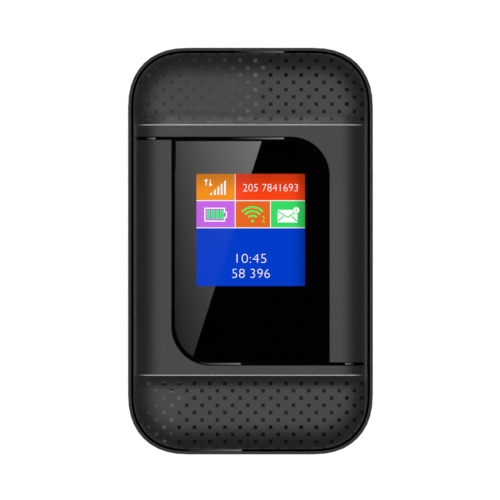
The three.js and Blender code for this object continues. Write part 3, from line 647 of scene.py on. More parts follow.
def cover_sheet(bm):
    """The upper cover's plan: the head band and the right arm, with the window's round corner."""
    s = shell()
    side = LENS_HIGH.x + s.groove_width
    head = LENS_HIGH.y + s.groove_width
    radius = s.window_round + s.groove_width
    angles = [QUARTER * step / s.shoulder_steps for step in range(s.shoulder_steps + 1)]
    loops = rings(bm, [(cover_inset() + s.shoulder_width * (1 - math.cos(angle)), 0) for angle in angles])
    bmesh.ops.edgeloop_fill(bm, edges=loops[-1])
    strip = s.edge_strip
    centre = Vector((side - radius, head - radius, 0))
    for level in (LENS_LOW.y, head, head + strip, centre.y):
        cut(bm, "Y", level)
    for level in (side, side + strip, centre.x):
        cut(bm, "X", level)
    doomed = []
    for face in bm.faces:
        middle = face.calc_center_median()
        window = middle.x < side and middle.y < head
        corner = centre.x < middle.x < side + strip and centre.y < middle.y < head + strip
        if middle.y < LENS_LOW.y or window or corner:
            doomed.append(face)
    drop_faces(bm, doomed)
    ends = [bm.verts.new((side + wide, centre.y, 0)) for wide in (0, strip)]
    across = bm.edges.new(ends)
    sweep(bm, [*ends, across], centre, QUARTER, 2 * s.corner_steps)
    weld(bm)
    reach = radius + strip
    arc = [edge for edge in bm.edges
           if all(abs((vert.co - centre).length - reach) < WELD
                  and min(vert.co.x - centre.x, vert.co.y - centre.y) > -WELD for vert in edge.verts)]
    outside = Vector((side + strip, head + strip, 0))
    corner = [edge for edge in bm.edges
              if any((vert.co - outside).length < WELD for vert in edge.verts)
              and all(centre.x - WELD < vert.co.x < outside.x + WELD
                      and centre.y - WELD < vert.co.y < outside.y + WELD for vert in edge.verts)]
    bmesh.ops.contextual_create(bm, geom=arc + corner)


def upward(bm, lowest_y):
    """Faces of the outer surface beyond a place along Y."""
    return [face for face in bm.faces
            if face.normal.z > OUTER_FACE and face.calc_center_median().y > lowest_y]


def cover_meshes(upper):
    """A cover with its pockets, and the inlays that lie in them, formed over the upper end's surface."""
    s = shell()
    crease = crease_y(upper)
    phase = s.dot_phase if upper else -s.dot_phase
    bm = bmesh.new()
    cover_sheet(bm)
    move(bm, (0, 0, -s.cover_thickness))
    lift(bm, bm.faces[:], s.cover_thickness)
    bm.normal_update()
    grooved = [edge for edge in bm.edges
               if len(edge.link_faces) == 2 and all(vert.co.z > -WELD for vert in edge.verts)
               and any(abs(face.normal.z) < UPRIGHT_FACE for face in edge.link_faces)
               and max(inset_at(*vert.co.xy) for vert in edge.verts) > cover_inset() + WELD]
    round_edges(bm, grooved, s.edge_round)

    bm.normal_update()
    top = crease - s.foot_margin / 2
    strips = [crease + share * s.crease_round for share in (-1, -0.5, 0, 0.5, 1)]
    strips += [crease + s.ramp_width * (step + 1) / s.ramp_steps for step in range(s.ramp_steps)]
    rows = dot_places(s.dot_first_row, COVER_HIGH.y + s.dot_side, s.dot_row_pitch, s.dot_first_row)
    columns = dot_places(COVER_LOW.x, COVER_HIGH.x, s.dot_column_pitch / 2, phase)
    for level in strips + [row + side * s.dot_side / 2 for row in rows for side in (-1, 1)]:
        cut(bm, "Y", level, upward(bm, top))
    for level in [column + side * s.dot_side / 2 for column in columns for side in (-1, 1)]:
        cut(bm, "X", level, upward(bm, crease))
    bm.normal_update()

    dotted = [face for face in upward(bm, crease) if on_dot(*face.calc_center_median().xy, phase)]
    for face in dotted:
        face.material_index = DOTTED
    inlays = bm.copy()
    drop_faces(inlays, [face for face in inlays.faces if face.material_index != DOTTED])
    trimmed = bmesh.ops.inset_region(inlays, faces=inlays.faces[:], thickness=s.dot_gap,
                                     use_even_offset=True, use_boundary=True)["faces"]
    drop_faces(inlays, trimmed)
    move(inlays, (0, 0, -s.dot_pocket))
    lift(inlays, inlays.faces[:], s.dot_pocket - s.dot_drop)

    made = bmesh.ops.extrude_face_region(bm, geom=dotted)["geom"]
    move(bm, (0, 0, -s.dot_pocket), only(BMVert, made))
    drop_faces(bm, [face for face in dotted if face.is_valid])
    for face in bm.faces:
        middle = face.calc_center_median()
        creased = abs(middle.y - crease) < CREASE_BAND * s.crease_round and face.normal.z > OUTER_FACE
        brim = inset_at(middle.x, middle.y) < cover_inset() + s.brim_width
        face.material_index = CREASE if creased else BRIM if brim else SKIN
    for mesh in (bm, inlays):
        for vert in mesh.verts:
            vert.co.z += surface_height(*vert.co.xy, upper)
    bmesh.ops.recalc_face_normals(bm, faces=bm.faces[:])
    return bm, inlays


class HOTSPOT_OT_covers(bpy.types.Operator):
    """Make the two satin covers and their glossy square inlays"""

    bl_idname = "hotspot.covers"
    bl_label = "Covers"

    def execute(self, context):
        c = colours()
        satin = moulded("cover_satin", c.cover, 0.36, 0.16, 0.012).material
        skins = (satin, painted_crease_highlight(c), brim_finish(c))
        gloss = inlay_finish(c)
        for end in ("upper", "lower"):
            cover, inlays = cover_meshes(end == "upper")
            if end == "lower":
                half_turn(cover)
                half_turn(inlays)
            finish(f"{end}_cover_skin", cover, skins, "housing", "cover_skin", f"{end}_cover", smooth=24)
            finish(f"{end}_cover_inlays", inlays, (gloss,), "housing", "gloss_trim", smooth=24)
        return {"FINISHED"}


# Trim in the grooves

# How much nearer the beads' middle lies to the window than the groove's middle
BEAD_SHIFT = 0.04 * MM


def trim_path(bm, width):
    """A flat strip from the left rim along the upper groove, round the window's corner and down."""
    s = shell()
    middle = s.groove_width / 2 - BEAD_SHIFT
    middle_y = LENS_HIGH.y + middle
    side = LENS_HIGH.x + middle
    radius = s.window_round + middle
    start_x = -FRAME_HIGH.x + cover_inset() - s.groove_width / 2
    verts = [bm.verts.new((start_x, middle_y + edge * width / 2, 0)) for edge in (-1, 1)]
    edge = bm.edges.new(verts)
    stops = [start_x + s.shoulder_width * (1 - math.cos(QUARTER * step / s.shoulder_steps))
             for step in range(1, s.shoulder_steps + 1)]
    stops.append(side - radius)
    at_x = start_x
    for stop in stops:
        edge = pull(bm, edge, (stop - at_x, 0, 0))
        at_x = stop
    centre = (side - radius, middle_y - radius, 0)
    turned = sweep(bm, [*edge.verts, edge], centre, -QUARTER, 2 * s.corner_steps)
    pull(bm, only(BMEdge, turned)[0], (0, -(middle_y - radius) - middle_y + width / 2, 0))


def pull(bm, edge, way):
    """Draws an edge out into a face and returns the new edge."""
    made = bmesh.ops.extrude_edge_only(bm, edges=[edge])["geom"]
    verts = only(BMVert, made)
    move(bm, way, verts)
    return next(item for item in only(BMEdge, made) if all(vert in verts for vert in item.verts))


def dome(bm, width, height):
    """Lifts a flat strip and rounds its upper edges into a bead."""
    top = lift(bm, bm.faces[:], height)
    bm.normal_update()
    edges = dict.fromkeys(edge for face in top for edge in face.edges
                          if any(abs(other.normal.z) < UPRIGHT_FACE for other in edge.link_faces))
    round_edges(bm, list(edges), width, segments=4)
    border_flat(bm, width / 3)


class HOTSPOT_OT_trim(bpy.types.Operator):
    """Make the glossy beads in the grooves and beside the rim"""

    bl_idname = "hotspot.trim"
    bl_label = "Groove trim"

    bead_width: length("Bead width", 0.6, "Width of the bead in a groove")
    bead_round: length("Bead round", 0.26, "Rounding of the bead's upper edges")
    bead_drop: length("Bead drop", 0.2, "How far the bead lies below the covers")
    bead_height: length("Bead height", 1.1, "Height of the bead")
    rim_width: length("Rim width", 0.7, "Width of the frame's rim")
    rim_gap: length("Rim gap", 0.04, "Gap on each side of the bead beside the rim")
    rim_round: length("Rim bead round", 0.03, "Rounding of the upper edges of the bead beside the rim")
    rim_bead_drop: length("Rim bead drop", 0.1, "How far the rim's bead lies below the rim")

    def execute(self, context):
        gloss = glossy("trim_gloss", colours().gloss, 0.01, 0.005).material
        bm = bmesh.new()
        trim_path(bm, self.bead_width)
        dome(bm, self.bead_round, self.bead_height)
        for vert in bm.verts:
            vert.co.z += surface_height(*vert.co.xy) - self.bead_drop - self.bead_height
        other = bm.copy()
        half_turn(other)
        finish("groove_trim_upper", bm, (gloss,), "housing", "gloss_trim")
        finish("groove_trim_lower", other, (gloss,), "housing", "gloss_trim")

        rim = bmesh.new()
        rings(rim, [(self.rim_width + self.rim_gap, 0), (cover_inset() - self.rim_gap, 0)])
        dome(rim, self.rim_round, self.bead_height)
        move(rim, (0, 0, FRAME_HIGH.z - self.rim_bead_drop - self.bead_height))
        finish("rim_trim", rim, (gloss,), "housing", "gloss_trim")
        return {"FINISHED"}


# Window lens with the lit display under it


def window_sheet(bm):
    """The window's plan as one face, round at the upper right and lower left and sharp at the others."""
    s = shell()
    radius = s.window_round
    half_x, half_y = LENS_HIGH.x, LENS_HIGH.y
    ends = []
    for turn in (1, -1):
        start = bm.verts.new((turn * half_x, turn * (half_y - radius), 0))
        centre = (turn * (half_x - radius), turn * (half_y - radius), 0)
        sweep(bm, [start], centre, QUARTER, 2 * s.corner_steps)
        ends.append(start)
    bm.verts.ensure_lookup_table()
    lasts = [vert for vert in bm.verts if len(vert.link_edges) == 1 and vert not in ends]
    lasts.sort(key=lambda vert: -vert.co.y)
    corners = [bm.verts.new((-half_x, half_y, 0)), bm.verts.new((half_x, -half_y, 0))]
    for first, second in ((lasts[0], corners[0]), (corners[0], ends[1]),
                          (lasts[1], corners[1]), (corners[1], ends[0])):
        bm.edges.new((first, second))
    bmesh.ops.contextual_create(bm, geom=bm.edges[:])


def display_left():
    """The lit area's left side."""
    d = display()
    return d.middle_x - d.width / 2


def display_head():
    """The lit area's upper side."""
    d = display()
    return d.middle_y + d.height / 2


TILE_ORDER = ("orange", "red", "purple", "rust", "green", "blue", "sign")


def tile_at(x, y):
    """Name of the display tile at a place, None outside the lit area."""
    d = display()
    across, down = x - display_left(), display_head() - y
    if not (0 < across < d.width and 0 < down < d.height):
        return None
    half = d.line_width / 2
    if min(abs(down - d.first_row), abs(down - d.second_row)) < half:
        return "sign"
    if down < d.second_row and abs(across - d.first_column) < half:
        return "sign"
    if d.first_row < down < d.second_row and abs(across - d.second_column) < half:
        return "sign"
    if down > d.second_row:
        return "blue"
    if down < d.first_row:
        return "orange" if across < d.first_column else "red"
    if across < d.first_column:
        return "purple"
    return "rust" if across < d.second_column else "green"


# The display's glass, how evenly it is lit, and the painted shade that darkens it at the head and the
# right, with the places in millimetres over those sides where the painted shade starts and ends, and the
# light that is left
DISPLAY_GLASS = (0.001, 0.001, 0.001)
DISPLAY_ROUGHNESS = 0.03
UNEVEN_SIZE = 6 * MM
UNEVEN = (0.2, 0.8, 0.985, 1.015)
HEAD_PAINTED_SHADE = (-5, 0.3, 0.62)
RIGHT_PAINTED_SHADE = (-3.2, 0.2, 0.56)


def lit(name, colour, strength=1.0, shaded=True):
    """A lit part of the display under the polished window, with painted shade darkening it at the head and
    the right edge.
    """
    d = display()
    made = Finish(name, DISPLAY_GLASS, DISPLAY_ROUGHNESS)
    made.set("Specular IOR Level", DISPLAY_MIRROR)
    level = made.mapped(made.noise(UNEVEN_SIZE, detail=1), *UNEVEN)
    if shaded:
        # Painted shade: the emission is darkened towards the head and the right edge, as the window frame's
        # shadow
        sides = (("Y", display_head(), HEAD_PAINTED_SHADE), ("X", d.middle_x + d.width / 2, RIGHT_PAINTED_SHADE))
        down, side = (made.mapped(made.axis(axis), place + start * MM, place + end * MM, 1, left, True)
                      for axis, place, (start, end, left) in sides)
        level = made.math("MULTIPLY", level, made.math("MULTIPLY", down, side))
    made.link(made.blend(level, (0, 0, 0), tuple(colour)), "Emission Color")
    made.set("Emission Strength", strength)
    return made.material


class HOTSPOT_OT_window(bpy.types.Operator):
    """Make the glossy window with the lit tiles of the display"""

    bl_idname = "hotspot.window"
    bl_label = "Window"

    edge_round: length("Edge round", 0.16, "Rounding of the window's upper edge")

    def execute(self, context):
        d, c = display(), colours()
        bm = bmesh.new()
        window_sheet(bm)
        move(bm, (0, 0, LENS_LOW.z))
        lift(bm, bm.faces[:], LENS_HIGH.z - LENS_LOW.z)
        edges = sharp_edges(bm, 40, LENS_HIGH.z - WELD)
        round_edges(bm, edges, self.edge_round)
        border_flat(bm, self.edge_round)
        left, head = display_left(), display_head()
        half = d.line_width / 2
        for across in (0, d.first_column - half, d.first_column + half,
                       d.second_column - half, d.second_column + half, d.width):
            cut(bm, "X", left + across, level_faces(bm))
        for down in (0, d.first_row - half, d.first_row + half,
                     d.second_row - half, d.second_row + half, d.height):
            cut(bm, "Y", head - down, level_faces(bm))
        bm.normal_update()
        for face in bm.faces:
            tile = tile_at(*face.calc_center_median().xy) if face.normal.z > LEVEL_FACE else None
            face.material_index = TILE_ORDER.index(tile) + 1 if tile else 0
        finishes = [glossy("window_gloss", c.gloss, 0.008, 0.004).material]
        finishes += [lit(f"display_{tile}", getattr(c, tile)) for tile in TILE_ORDER]
        finish("window_glass", bm, finishes, "housing", "lens", "window_lens")
        return {"FINISHED"}


# Signs on the display, with places in millimetres across and down from the lit area's upper left corner

SIGNAL_BARS = ((2.95, 3.67), (4.11, 4.49), (4.91, 5.29), (5.68, 6.06), (6.47, 6.85))
SIGNAL_FOOT = 4.9
SIGNAL_HEAD = 0.9
SIGNAL_SLOPE = (2.95, 4.9, 6.85, 1.45)
ARROWS = ((2.25, 1), (3.25, -1))
ARROW = (2.05, 1.5, 0.17, 0.5)
BATTERY_FRAME = (1.83, 6.68, 7.9, 11.15)
BATTERY_LINE = 0.27
BATTERY_NUB = (7.13, 8.78, 10.3)
BATTERY_CELLS = (2.42, 3.48, 4.54, 5.6)
BATTERY_CELL = (0.68, 8.5, 10.55)
RADIO_CENTRE = (13.1, 11.02)
RADIO_ARCS = (1.27, 2.3, 3.24)
RADIO_STROKE = 0.42
RADIO_HALF_ANGLE = 48
RADIO_DOT = 0.33
ENVELOPE = (18.95, 23.6, 8.4, 11.35)
ENVELOPE_FOLD = 10.15
ENVELOPE_LINE = 0.27
BADGE_CENTRE = (23.32, 8.48)
BADGE_RADIUS = 0.72
BADGE_GAP = 0.14
FLAP_SHARE = 0.62

# Gap below a sign over its height, and steps round a disc and along an arc
SIGN_GAP = 0.2
DISC_STEPS = 28
ARC_STEPS = 18

# Digits, with left side, right side, foot, height, tone and how much thinner they are than the typeface
WHITE, GREEN, TILE = range(3)
DIGITS = (
    ("205 7841693", 10.9, 23.7, 4.1, 1.75, WHITE, 0.018),
    ("2", 15.3, 15.95, 11.3, 1.45, GREEN, 0.012),
    ("10:45", 9.4, 16.3, 20.8, 2.1, WHITE, 0.022),
    ("58 396", 8.35, 17.15, 24.3, 2.1, WHITE, 0.022),
)
BADGE_DIGIT = ("4", 23.06, 23.58, 8.9, 0.84)


class Signs:
    """Thin flat signs gathered in one mesh, each with a tone that is its material's index."""

    def __init__(self):
        self.bm = bmesh.new()

    def place(self, across, down):
        """The point of the display at a place in millimetres."""
        return Vector((display_left() + across * MM, display_head() - down * MM, 0))

    def gather(self, part, tone, level=0):
        """Thickens a flat part and adds it to the signs, on a level above the window."""
        height = display().sign_height
        lift(part, part.faces[:], height)
        for face in part.faces:
            face.material_index = tone
        move(part, (0, 0, LENS_HIGH.z + (level + SIGN_GAP) * height))
        mesh = stored("sign", part)
        self.bm.from_mesh(mesh)
        bpy.data.meshes.remove(mesh)

    def plate(self, left, right, top, foot, turn=0):
        """A flat rectangle, turned about its middle by degrees."""
        part = bmesh.new()
        middle = self.place((left + right) / 2, (top + foot) / 2)
        size = Matrix.Diagonal(((right - left) * MM, (foot - top) * MM, 1, 1))
        matrix = Matrix.Translation(middle) @ Matrix.Rotation(math.radians(turn), 4, "Z") @ size
        bmesh.ops.create_grid(part, x_segments=1, y_segments=1, size=0.5, matrix=matrix)
        return part

    def bar(self, left, right, top, foot, tone):
        """An upright rectangle."""
        self.gather(self.plate(left, right, top, foot), tone)

    def line(self, start, end, width, tone, level):
        """A straight stroke between two places."""
        across, down = end[0] - start[0], end[1] - start[1]
        reach = math.hypot(across, down)
        x, y = (start[0] + end[0]) / 2, (start[1] + end[1]) / 2
        turn = -math.degrees(math.atan2(down, across))
        self.gather(self.plate(x - reach / 2, x + reach / 2, y - width / 2, y + width / 2, turn),
                    tone, level)

    def disc(self, centre, radius, tone, level=0, segments=DISC_STEPS, turn=0):
        """A disc, or with three segments an arrow's head."""
        part = bmesh.new()
        matrix = Matrix.Translation(self.place(*centre)) @ Matrix.Rotation(math.radians(turn), 4, "Z")
        bmesh.ops.create_circle(part, cap_ends=True, segments=segments, radius=radius * MM, matrix=matrix)
        self.gather(part, tone, level)

    def arc(self, centre, radius, stroke, half_angle, tone):
        """A bent stroke over its centre."""
        part = bmesh.new()
        middle = self.place(*centre)
        inner = part.verts.new(middle + Vector((0, (radius - stroke / 2) * MM, 0)))
        made = bmesh.ops.extrude_vert_indiv(part, verts=[inner])
        move(part, (0, stroke * MM, 0), made["verts"])
        angle = math.radians(half_angle)
        bmesh.ops.rotate(part, verts=part.verts[:], cent=middle, matrix=Matrix.Rotation(angle, 3, "Z"))
        sweep(part, part.verts[:] + part.edges[:], middle, -2 * angle, ARC_STEPS)
        self.gather(part, tone)

    def numbers(self, text, left, right, foot, height, tone, thin=0.0, level=0):
        """Plain digits fitted between two sides, with their feet on a line."""
        curve = bpy.data.curves.new("digits", "FONT")
        curve.body = text
        curve.resolution_u = 4
        curve.offset = -thin
        holder = placed("digits", curve)
        bpy.context.view_layer.update()
        mesh = bpy.data.meshes.new_from_object(holder.evaluated_get(bpy.context.evaluated_depsgraph_get()))
        places = [vert.co for vert in mesh.vertices]
        low = Vector((min(place.x for place in places), min(place.y for place in places), 0))
        high = Vector((max(place.x for place in places), max(place.y for place in places), 0))
        wide, tall = (right - left) * MM / (high.x - low.x), height * MM / (high.y - low.y)
        scale = Matrix.Diagonal((wide, tall, 1, 1))
        mesh.transform(Matrix.Translation(self.place(left, foot)) @ scale @ Matrix.Translation(-low))
        part = bmesh.new()
        part.from_mesh(mesh)
        weld(part)
        self.gather(part, tone, level)
        bpy.data.objects.remove(holder)
        bpy.data.curves.remove(curve)
        bpy.data.meshes.remove(mesh)

    def signal(self):
        """Rising bars cut by one slanted line, beside an arrow up and an arrow down."""
        left, foot, right, head = SIGNAL_SLOPE
        start, end = self.place(left, foot), self.place(right, head)
        slant = (end - start).cross(Vector((0, 0, -1)))
        for first, last in SIGNAL_BARS:
            part = self.plate(first, last, SIGNAL_HEAD, SIGNAL_FOOT)
            bisect(part, start, slant, clear=True)
            self.gather(part, WHITE)
        middle, reach, stem, head = ARROW
        for across, way in ARROWS:
            self.bar(across - stem / 2, across + stem / 2, middle - reach / 2, middle + reach / 2, WHITE)
            tip = (across, middle - way * (reach / 2 - head / 2))
            self.disc(tip, head, WHITE, level=1, segments=3, turn=90 * way)

    def battery(self):
        """An open battery outline with four cells."""
        left, right, top, foot = BATTERY_FRAME
        tip, upper, lower = BATTERY_NUB
        line = BATTERY_LINE
        for box in ((left, right, top, top + line), (left, right, foot - line, foot),
                    (left, left + line, top + line, foot - line),
                    (right - line, right, top + line, upper + line),
                    (right - line, right, lower - line, foot - line),
                    (right, tip - line, upper, upper + line), (right, tip - line, lower - line, lower),
                    (tip - line, tip, upper, lower)):
            self.bar(*box, WHITE)
        width, top, foot = BATTERY_CELL
        for cell in BATTERY_CELLS:
            self.bar(cell, cell + width, top, foot, GREEN)

    def radio(self):
        """Three bent strokes over a dot."""
        for radius in RADIO_ARCS:
            self.arc(RADIO_CENTRE, radius, RADIO_STROKE, RADIO_HALF_ANGLE, GREEN)
        self.disc(RADIO_CENTRE, RADIO_DOT, GREEN)

    def message(self):
        """An envelope with a numbered badge."""
        left, right, top, foot = ENVELOPE
        middle = (left + right) / 2
        self.bar(left, right, top, foot, WHITE)
        for side in (left, right):
            self.line((side, top + ENVELOPE_LINE), (middle, ENVELOPE_FOLD), ENVELOPE_LINE, TILE, 1)
            near = side + (middle - side) * FLAP_SHARE
            self.line((side, foot - ENVELOPE_LINE), (near, ENVELOPE_FOLD - ENVELOPE_LINE), ENVELOPE_LINE,
                      TILE, 1)
        self.disc(BADGE_CENTRE, BADGE_RADIUS + BADGE_GAP, TILE, 2)
        self.disc(BADGE_CENTRE, BADGE_RADIUS, WHITE, 3)
        self.numbers(*BADGE_DIGIT, TILE, level=4)


class HOTSPOT_OT_signs(bpy.types.Operator):
    """Make the white and green signs on the lit display"""

    bl_idname = "hotspot.signs"
    bl_label = "Display signs"

    def execute(self, context):
        c = colours()
        signs = Signs()
        for draw in (signs.signal, signs.battery, signs.radio, signs.message):
            draw()
        for digits in DIGITS:
            signs.numbers(*digits)
        finishes = (lit("sign_white", c.sign, shaded=False), lit("sign_green", c.lime, 1.15, False),
                    lit("sign_tile", c.green))
        finish("display_signs", signs.bm, finishes, "housing", "panel_glass", smooth=20)
        return {"FINISHED"}


# Frame, rear cover and battery


class HOTSPOT_OT_housing(bpy.types.Operator):
    """Finish the middle frame and the rear cover with rounded edges and textured plastic"""

    bl_idname = "hotspot.housing"
    bl_label = "Housing"

    rim_round: length("Rim round", 0.08, "Rounding of the frame's rim")
    rim_depth: length("Rim depth", 0.5, "How far below the rim an edge still counts as the rim's")
    rear_round: length("Rear round", 0.1, "Rounding of the rear cover's rim")
    rear_height: length("Rear height", 3.6, "Height of the rear cover's rim")

    def execute(self, context):
        c = colours()
        side_plastic = moulded("frame_plastic", c.frame, 0.38, 0.14, 0.01)
        side_plastic.set("Specular IOR Level", FRAME_MIRROR)
        rear_plastic = moulded("rear_plastic", c.rear, 0.5, 0.22, 0.02).material
        bm = node_copy("middle_frame")
        rim = sharp_edges(bm, 25, FRAME_HIGH.z - self.rim_depth)
        round_edges(bm, rim, self.rim_round, segments=2)
        finish("side_frame", bm, (side_plastic.material,), "housing", "frame_plastic", "middle_frame",
               smooth=28)
        bm = node_copy("rear_cover")
        rim = sharp_edges(bm, 50, self.rear_height - WELD, self.rear_height + WELD)
        round_edges(bm, rim, self.rear_round, segments=2)
        finish("rear_tray", bm, (rear_plastic,), "rear_door", "rear_plastic", "rear_cover", smooth=28)
        return {"FINISHED"}


def block(low, high):
    """A box between two corners."""
    bm = bmesh.new()
    bmesh.ops.create_cube(bm, size=1)
    bmesh.ops.scale(bm, verts=bm.verts[:], vec=high - low)
    move(bm, (low + high) / 2)
    return bm


WRAP, CAP = range(2)
WRAP_TINT = (0.03, 0.031, 0.034)
CAP_TINT = (0.016, 0.016, 0.017)
GOLD = (0.8, 0.55, 0.2)
SEAM_SLANT = 0.02 * MM


class HOTSPOT_OT_battery(bpy.types.Operator):
    """Finish the battery with a wrapped middle, two moulded end caps and three contact pads"""

    bl_idname = "hotspot.battery"
    bl_label = "Battery"

    cap_depth: length("Cap depth", 3.4, "Depth of an end cap")
    seam_depth: length("Seam depth", 0.08, "Depth of the seam between wrap and cap")
    seam_width: length("Seam width", 0.2, "Width of the seam between wrap and cap")
    case_round: length("Case round", 0.3, "Rounding of the battery's edges")
    pad_width: length("Pad width", 1.9, "Width of a contact pad")
    pad_height: length("Pad height", 2.28, "Height of a contact pad")
    pad_rise: length("Pad rise", 0.03, "How far a contact pad stands proud of its cap")
    pad_pitch: length("Pad pitch", 3, "Distance between two contact pads")

    def case(self):
        """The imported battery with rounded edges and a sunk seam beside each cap."""
        bm = node_copy("battery")
        round_edges(bm, sharp_edges(bm, 40), self.case_round, segments=4)
        seams = []
        for end, side in ((BATTERY_LOW.y, 1), (BATTERY_HIGH.y, -1)):
            near = end + side * self.cap_depth
            far = near + side * self.seam_width
            for level in (near, far):
                cut(bm, "Y", level)
            seams.append(sorted((near, far)))
        for face in bm.faces:
            middle = face.calc_center_median().y
            capped = middle < seams[0][1] or middle > seams[1][0]
            face.material_index = CAP if capped else WRAP
        sunk = [face for face in bm.faces
                if any(low < face.calc_center_median().y < high for low, high in seams)]
        bmesh.ops.inset_region(bm, faces=sunk, thickness=SEAM_SLANT, depth=-self.seam_depth,
                               use_even_offset=True, use_boundary=True)
        return bm

    def execute(self, context):
        wrap = moulded("battery_wrap", WRAP_TINT, 0.34, 0.25, 0.006, 0.1).material
        cap = moulded("battery_cap", CAP_TINT, 0.55, 0.18, 0.015).material
        gold = metal("battery_gold", GOLD, 0.28).material
        finish("battery_case", self.case(), (wrap, cap), "battery_pack", "battery_case", "battery",
               smooth=30)
        low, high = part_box("battery_contact_sense")
        reach = Vector((self.pad_width / 2, self.pad_rise, self.pad_height / 2))
        for name, step in (("plus", -1), ("sense", 0), ("minus", 1)):
            middle = Vector((step * self.pad_pitch, BATTERY_LOW.y, (low.z + high.z) / 2))
            bm = block(middle - reach, middle + reach)
            round_edges(bm, bm.edges[:], self.pad_rise / 2, segments=2)
            finish(f"battery_pad_{name}", bm, (gold,), "battery_pack", "gold")
        return {"FINISHED"}


# Inner pieces

PANEL_TINT = (0.01, 0.011, 0.013)

# Plastics with colour, roughness, size and height of the grain in millimetres, colour spread and pieces
INNER_PLASTICS = (
    ("foam", (0.03, 0.03, 0.03), 0.95, 0.3, 0.05, 0.08, ("lens_gasket", "display_foam")),
    ("white_plastic", (0.75, 0.75, 0.73), 0.45, 0.2, 0.01, 0.03, ("display_backlight", "reset_plunger")),
    ("ivory_plastic", (0.62, 0.56, 0.42), 0.5, 0.2, 0.01, 0.05, ("display_connector",)),
    ("flex_film", (0.42, 0.15, 0.03), 0.3, 0.4, 0.01, 0.1, ("display_flex",)),
    ("board_green", (0.012, 0.07, 0.03), 0.4, 0.3, 0.02, 0.2, ("main_board",)),
    ("chip_epoxy", (0.012, 0.012, 0.013), 0.55, 0.1, 0.01, 0.08,
     ("modem_chip", "memory_chip", "power_chip", "radio_chip")),
    ("connector_black", (0.015, 0.015, 0.016), 0.5, 0.15, 0.01, 0.08,
     ("usb_tongue", "sim_socket", "battery_connector")),
    ("card_white", (0.75, 0.75, 0.74), 0.4, 0.3, 0.005, 0.03, ("sim_card",)),
    ("plunger_red", (0.25, 0.03, 0.02), 0.4, 0.2, 0.005, 0.08, ("power_plunger", "menu_plunger")),
)

# Metals with colour, roughness and pieces
INNER_METALS = (
    ("tin_plate", (0.6, 0.6, 0.6), 0.35,
     ("modem_shield", "power_shield", "screw_upper_left", "screw_upper_right", "screw_lower_left",
      "screw_lower_right")),
    ("gold_plate", GOLD, 0.3,
     ("diversity_antenna", "main_antenna", "radio_antenna", "battery_contact_plus", "battery_contact_sense",
      "battery_contact_minus")),
    ("spring_steel", (0.55, 0.56, 0.57), 0.3,
     ("usb_shell", "sim_cage", "power_switch", "menu_switch", "reset_switch")),
)


class HOTSPOT_OT_inner(bpy.types.Operator):
    """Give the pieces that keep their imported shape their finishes"""

    bl_idname = "hotspot.inner"
    bl_label = "Inner pieces"

    def execute(self, context):
        c = colours()
        pairs = [(glossy("bezel_gloss", c.gloss, 0.08), ("front_bezel",)),
                 (glossy("panel_glass", PANEL_TINT, 0.05), ("display_panel",)),
                 (moulded("key_plastic", c.frame, 0.35, 0.14, 0.008), ("power_key", "menu_key"))]
        pairs += [(moulded(*values), nodes) for *values, nodes in INNER_PLASTICS]
        pairs += [(metal(*values), nodes) for *values, nodes in INNER_METALS]
        for made, nodes in pairs:
            for node in nodes:
                for slot in frame["nodes"][node].material_slots:
                    slot.material = made.material
        return {"FINISHED"}


# Studio

TRIM_PIECES = ("groove_trim_upper", "groove_trim_lower", "rim_trim")
WINDOW_PIECES = ("window_glass", "display_signs", "front_bezel")
INLAY_PIECES = ("upper_cover_inlays", "lower_cover_inlays")

# The card that the window mirrors, in millimetres, with a point of its slanted edge, and the cards' reach
WEDGE_SLOPE = 0.3188
WEDGE_START = (5.51, 51.75)
WEDGE_FOOT = -52.3
WEDGE_HEAD = 51.8
CARD_REACH = 1100

# The shade from 0 to 255 that the window shows of the card at its foot and its head, where they lie along
# Y, what its slanted edge adds, where that starts and ends along X, how it bends, and the share mirrored
WEDGE_SHADES = (27, 62)
WEDGE_ALONG = (-50, 52)
WEDGE_ADDED = 52
WEDGE_ACROSS = (-34.7, 5.6)
WEDGE_BEND = 0.74
MIRRORED_SHARE = 0.04

# Cards that the inlays mirror, in millimetres, from and to along Y, with the lit edge's place at the near
# end, its slope, the light at the edge and far to the left, and the distance in which the rest halves
INLAY_STRIPS = (
    (57, 90, 4.6, 0, 17, 4, 11),
    (90, 97, -10, 0, 8, 5, 20),
    (97, 230, 4.1, 0, 21, 4, 10),
    (230, 340, 8.8, 0, 13.2, 3.3, 10),
    (340, 440, -1.5, 0, 27, 8.5, 9),
    (440, CARD_REACH, 5.1, 0, 10, 3, 10),
    (-57, -74, -28.5, WEDGE_SLOPE, 18.5, 5, 9),
    (-74, -90, -34.4, 0, 17, 3.5, 75),
    (-90, -97, -37, WEDGE_SLOPE, 16, 3.5, 85),
    (-97, -319, -38, WEDGE_SLOPE, 17, 4, 85),
    (-319, -365, -30.5, 0, 8, 4, 30),
    (-365, -CARD_REACH, -123.4, WEDGE_SLOPE, 13, 6, 60),
)

# One more card for the inlays, in millimetres, beside the lit edge of the strip from 340 to 440
RAMP_FILL = (-1.4, 200, 340, 440)
RAMP_FILL_LIGHT = 5.9

# The power of the rise of light along a bar
BAR_BEND = 1.4

# Bars that the trim mirrors, in millimetres, with left, right, foot, head and the light at both ends
TRIM_BARS = (
    (-9.9, 15.6, 51.9, 56.9, 0.0, 5.6),
    (-412, -172, 51.9, 56.9, 0.0, 5.2),
    (-9.0, 15.7, 90.1, 96.9, 0.0, 3.1),
    (-28.0, -4.1, -56.9, -52.4, 0.0, 4.6),
    (165, 400, -56.9, -52.4, 4.4, 0.0),
    (-33.0, -4.1, -96.9, -90.1, 0.0, 4.2),
)

# Boxes of light over the middle, in metres, with place, size and radiance
SOFT_BOX = ((0, 0, 0.6), (0.385, 0.36), 1.97)
INLAY_BOX = ((-0.035, 0, 0.6), (0.29, 0.304), 1.75)
WIDE_BOX = ((0, 0, 0.62), (2.1, 2.1), 0.15)

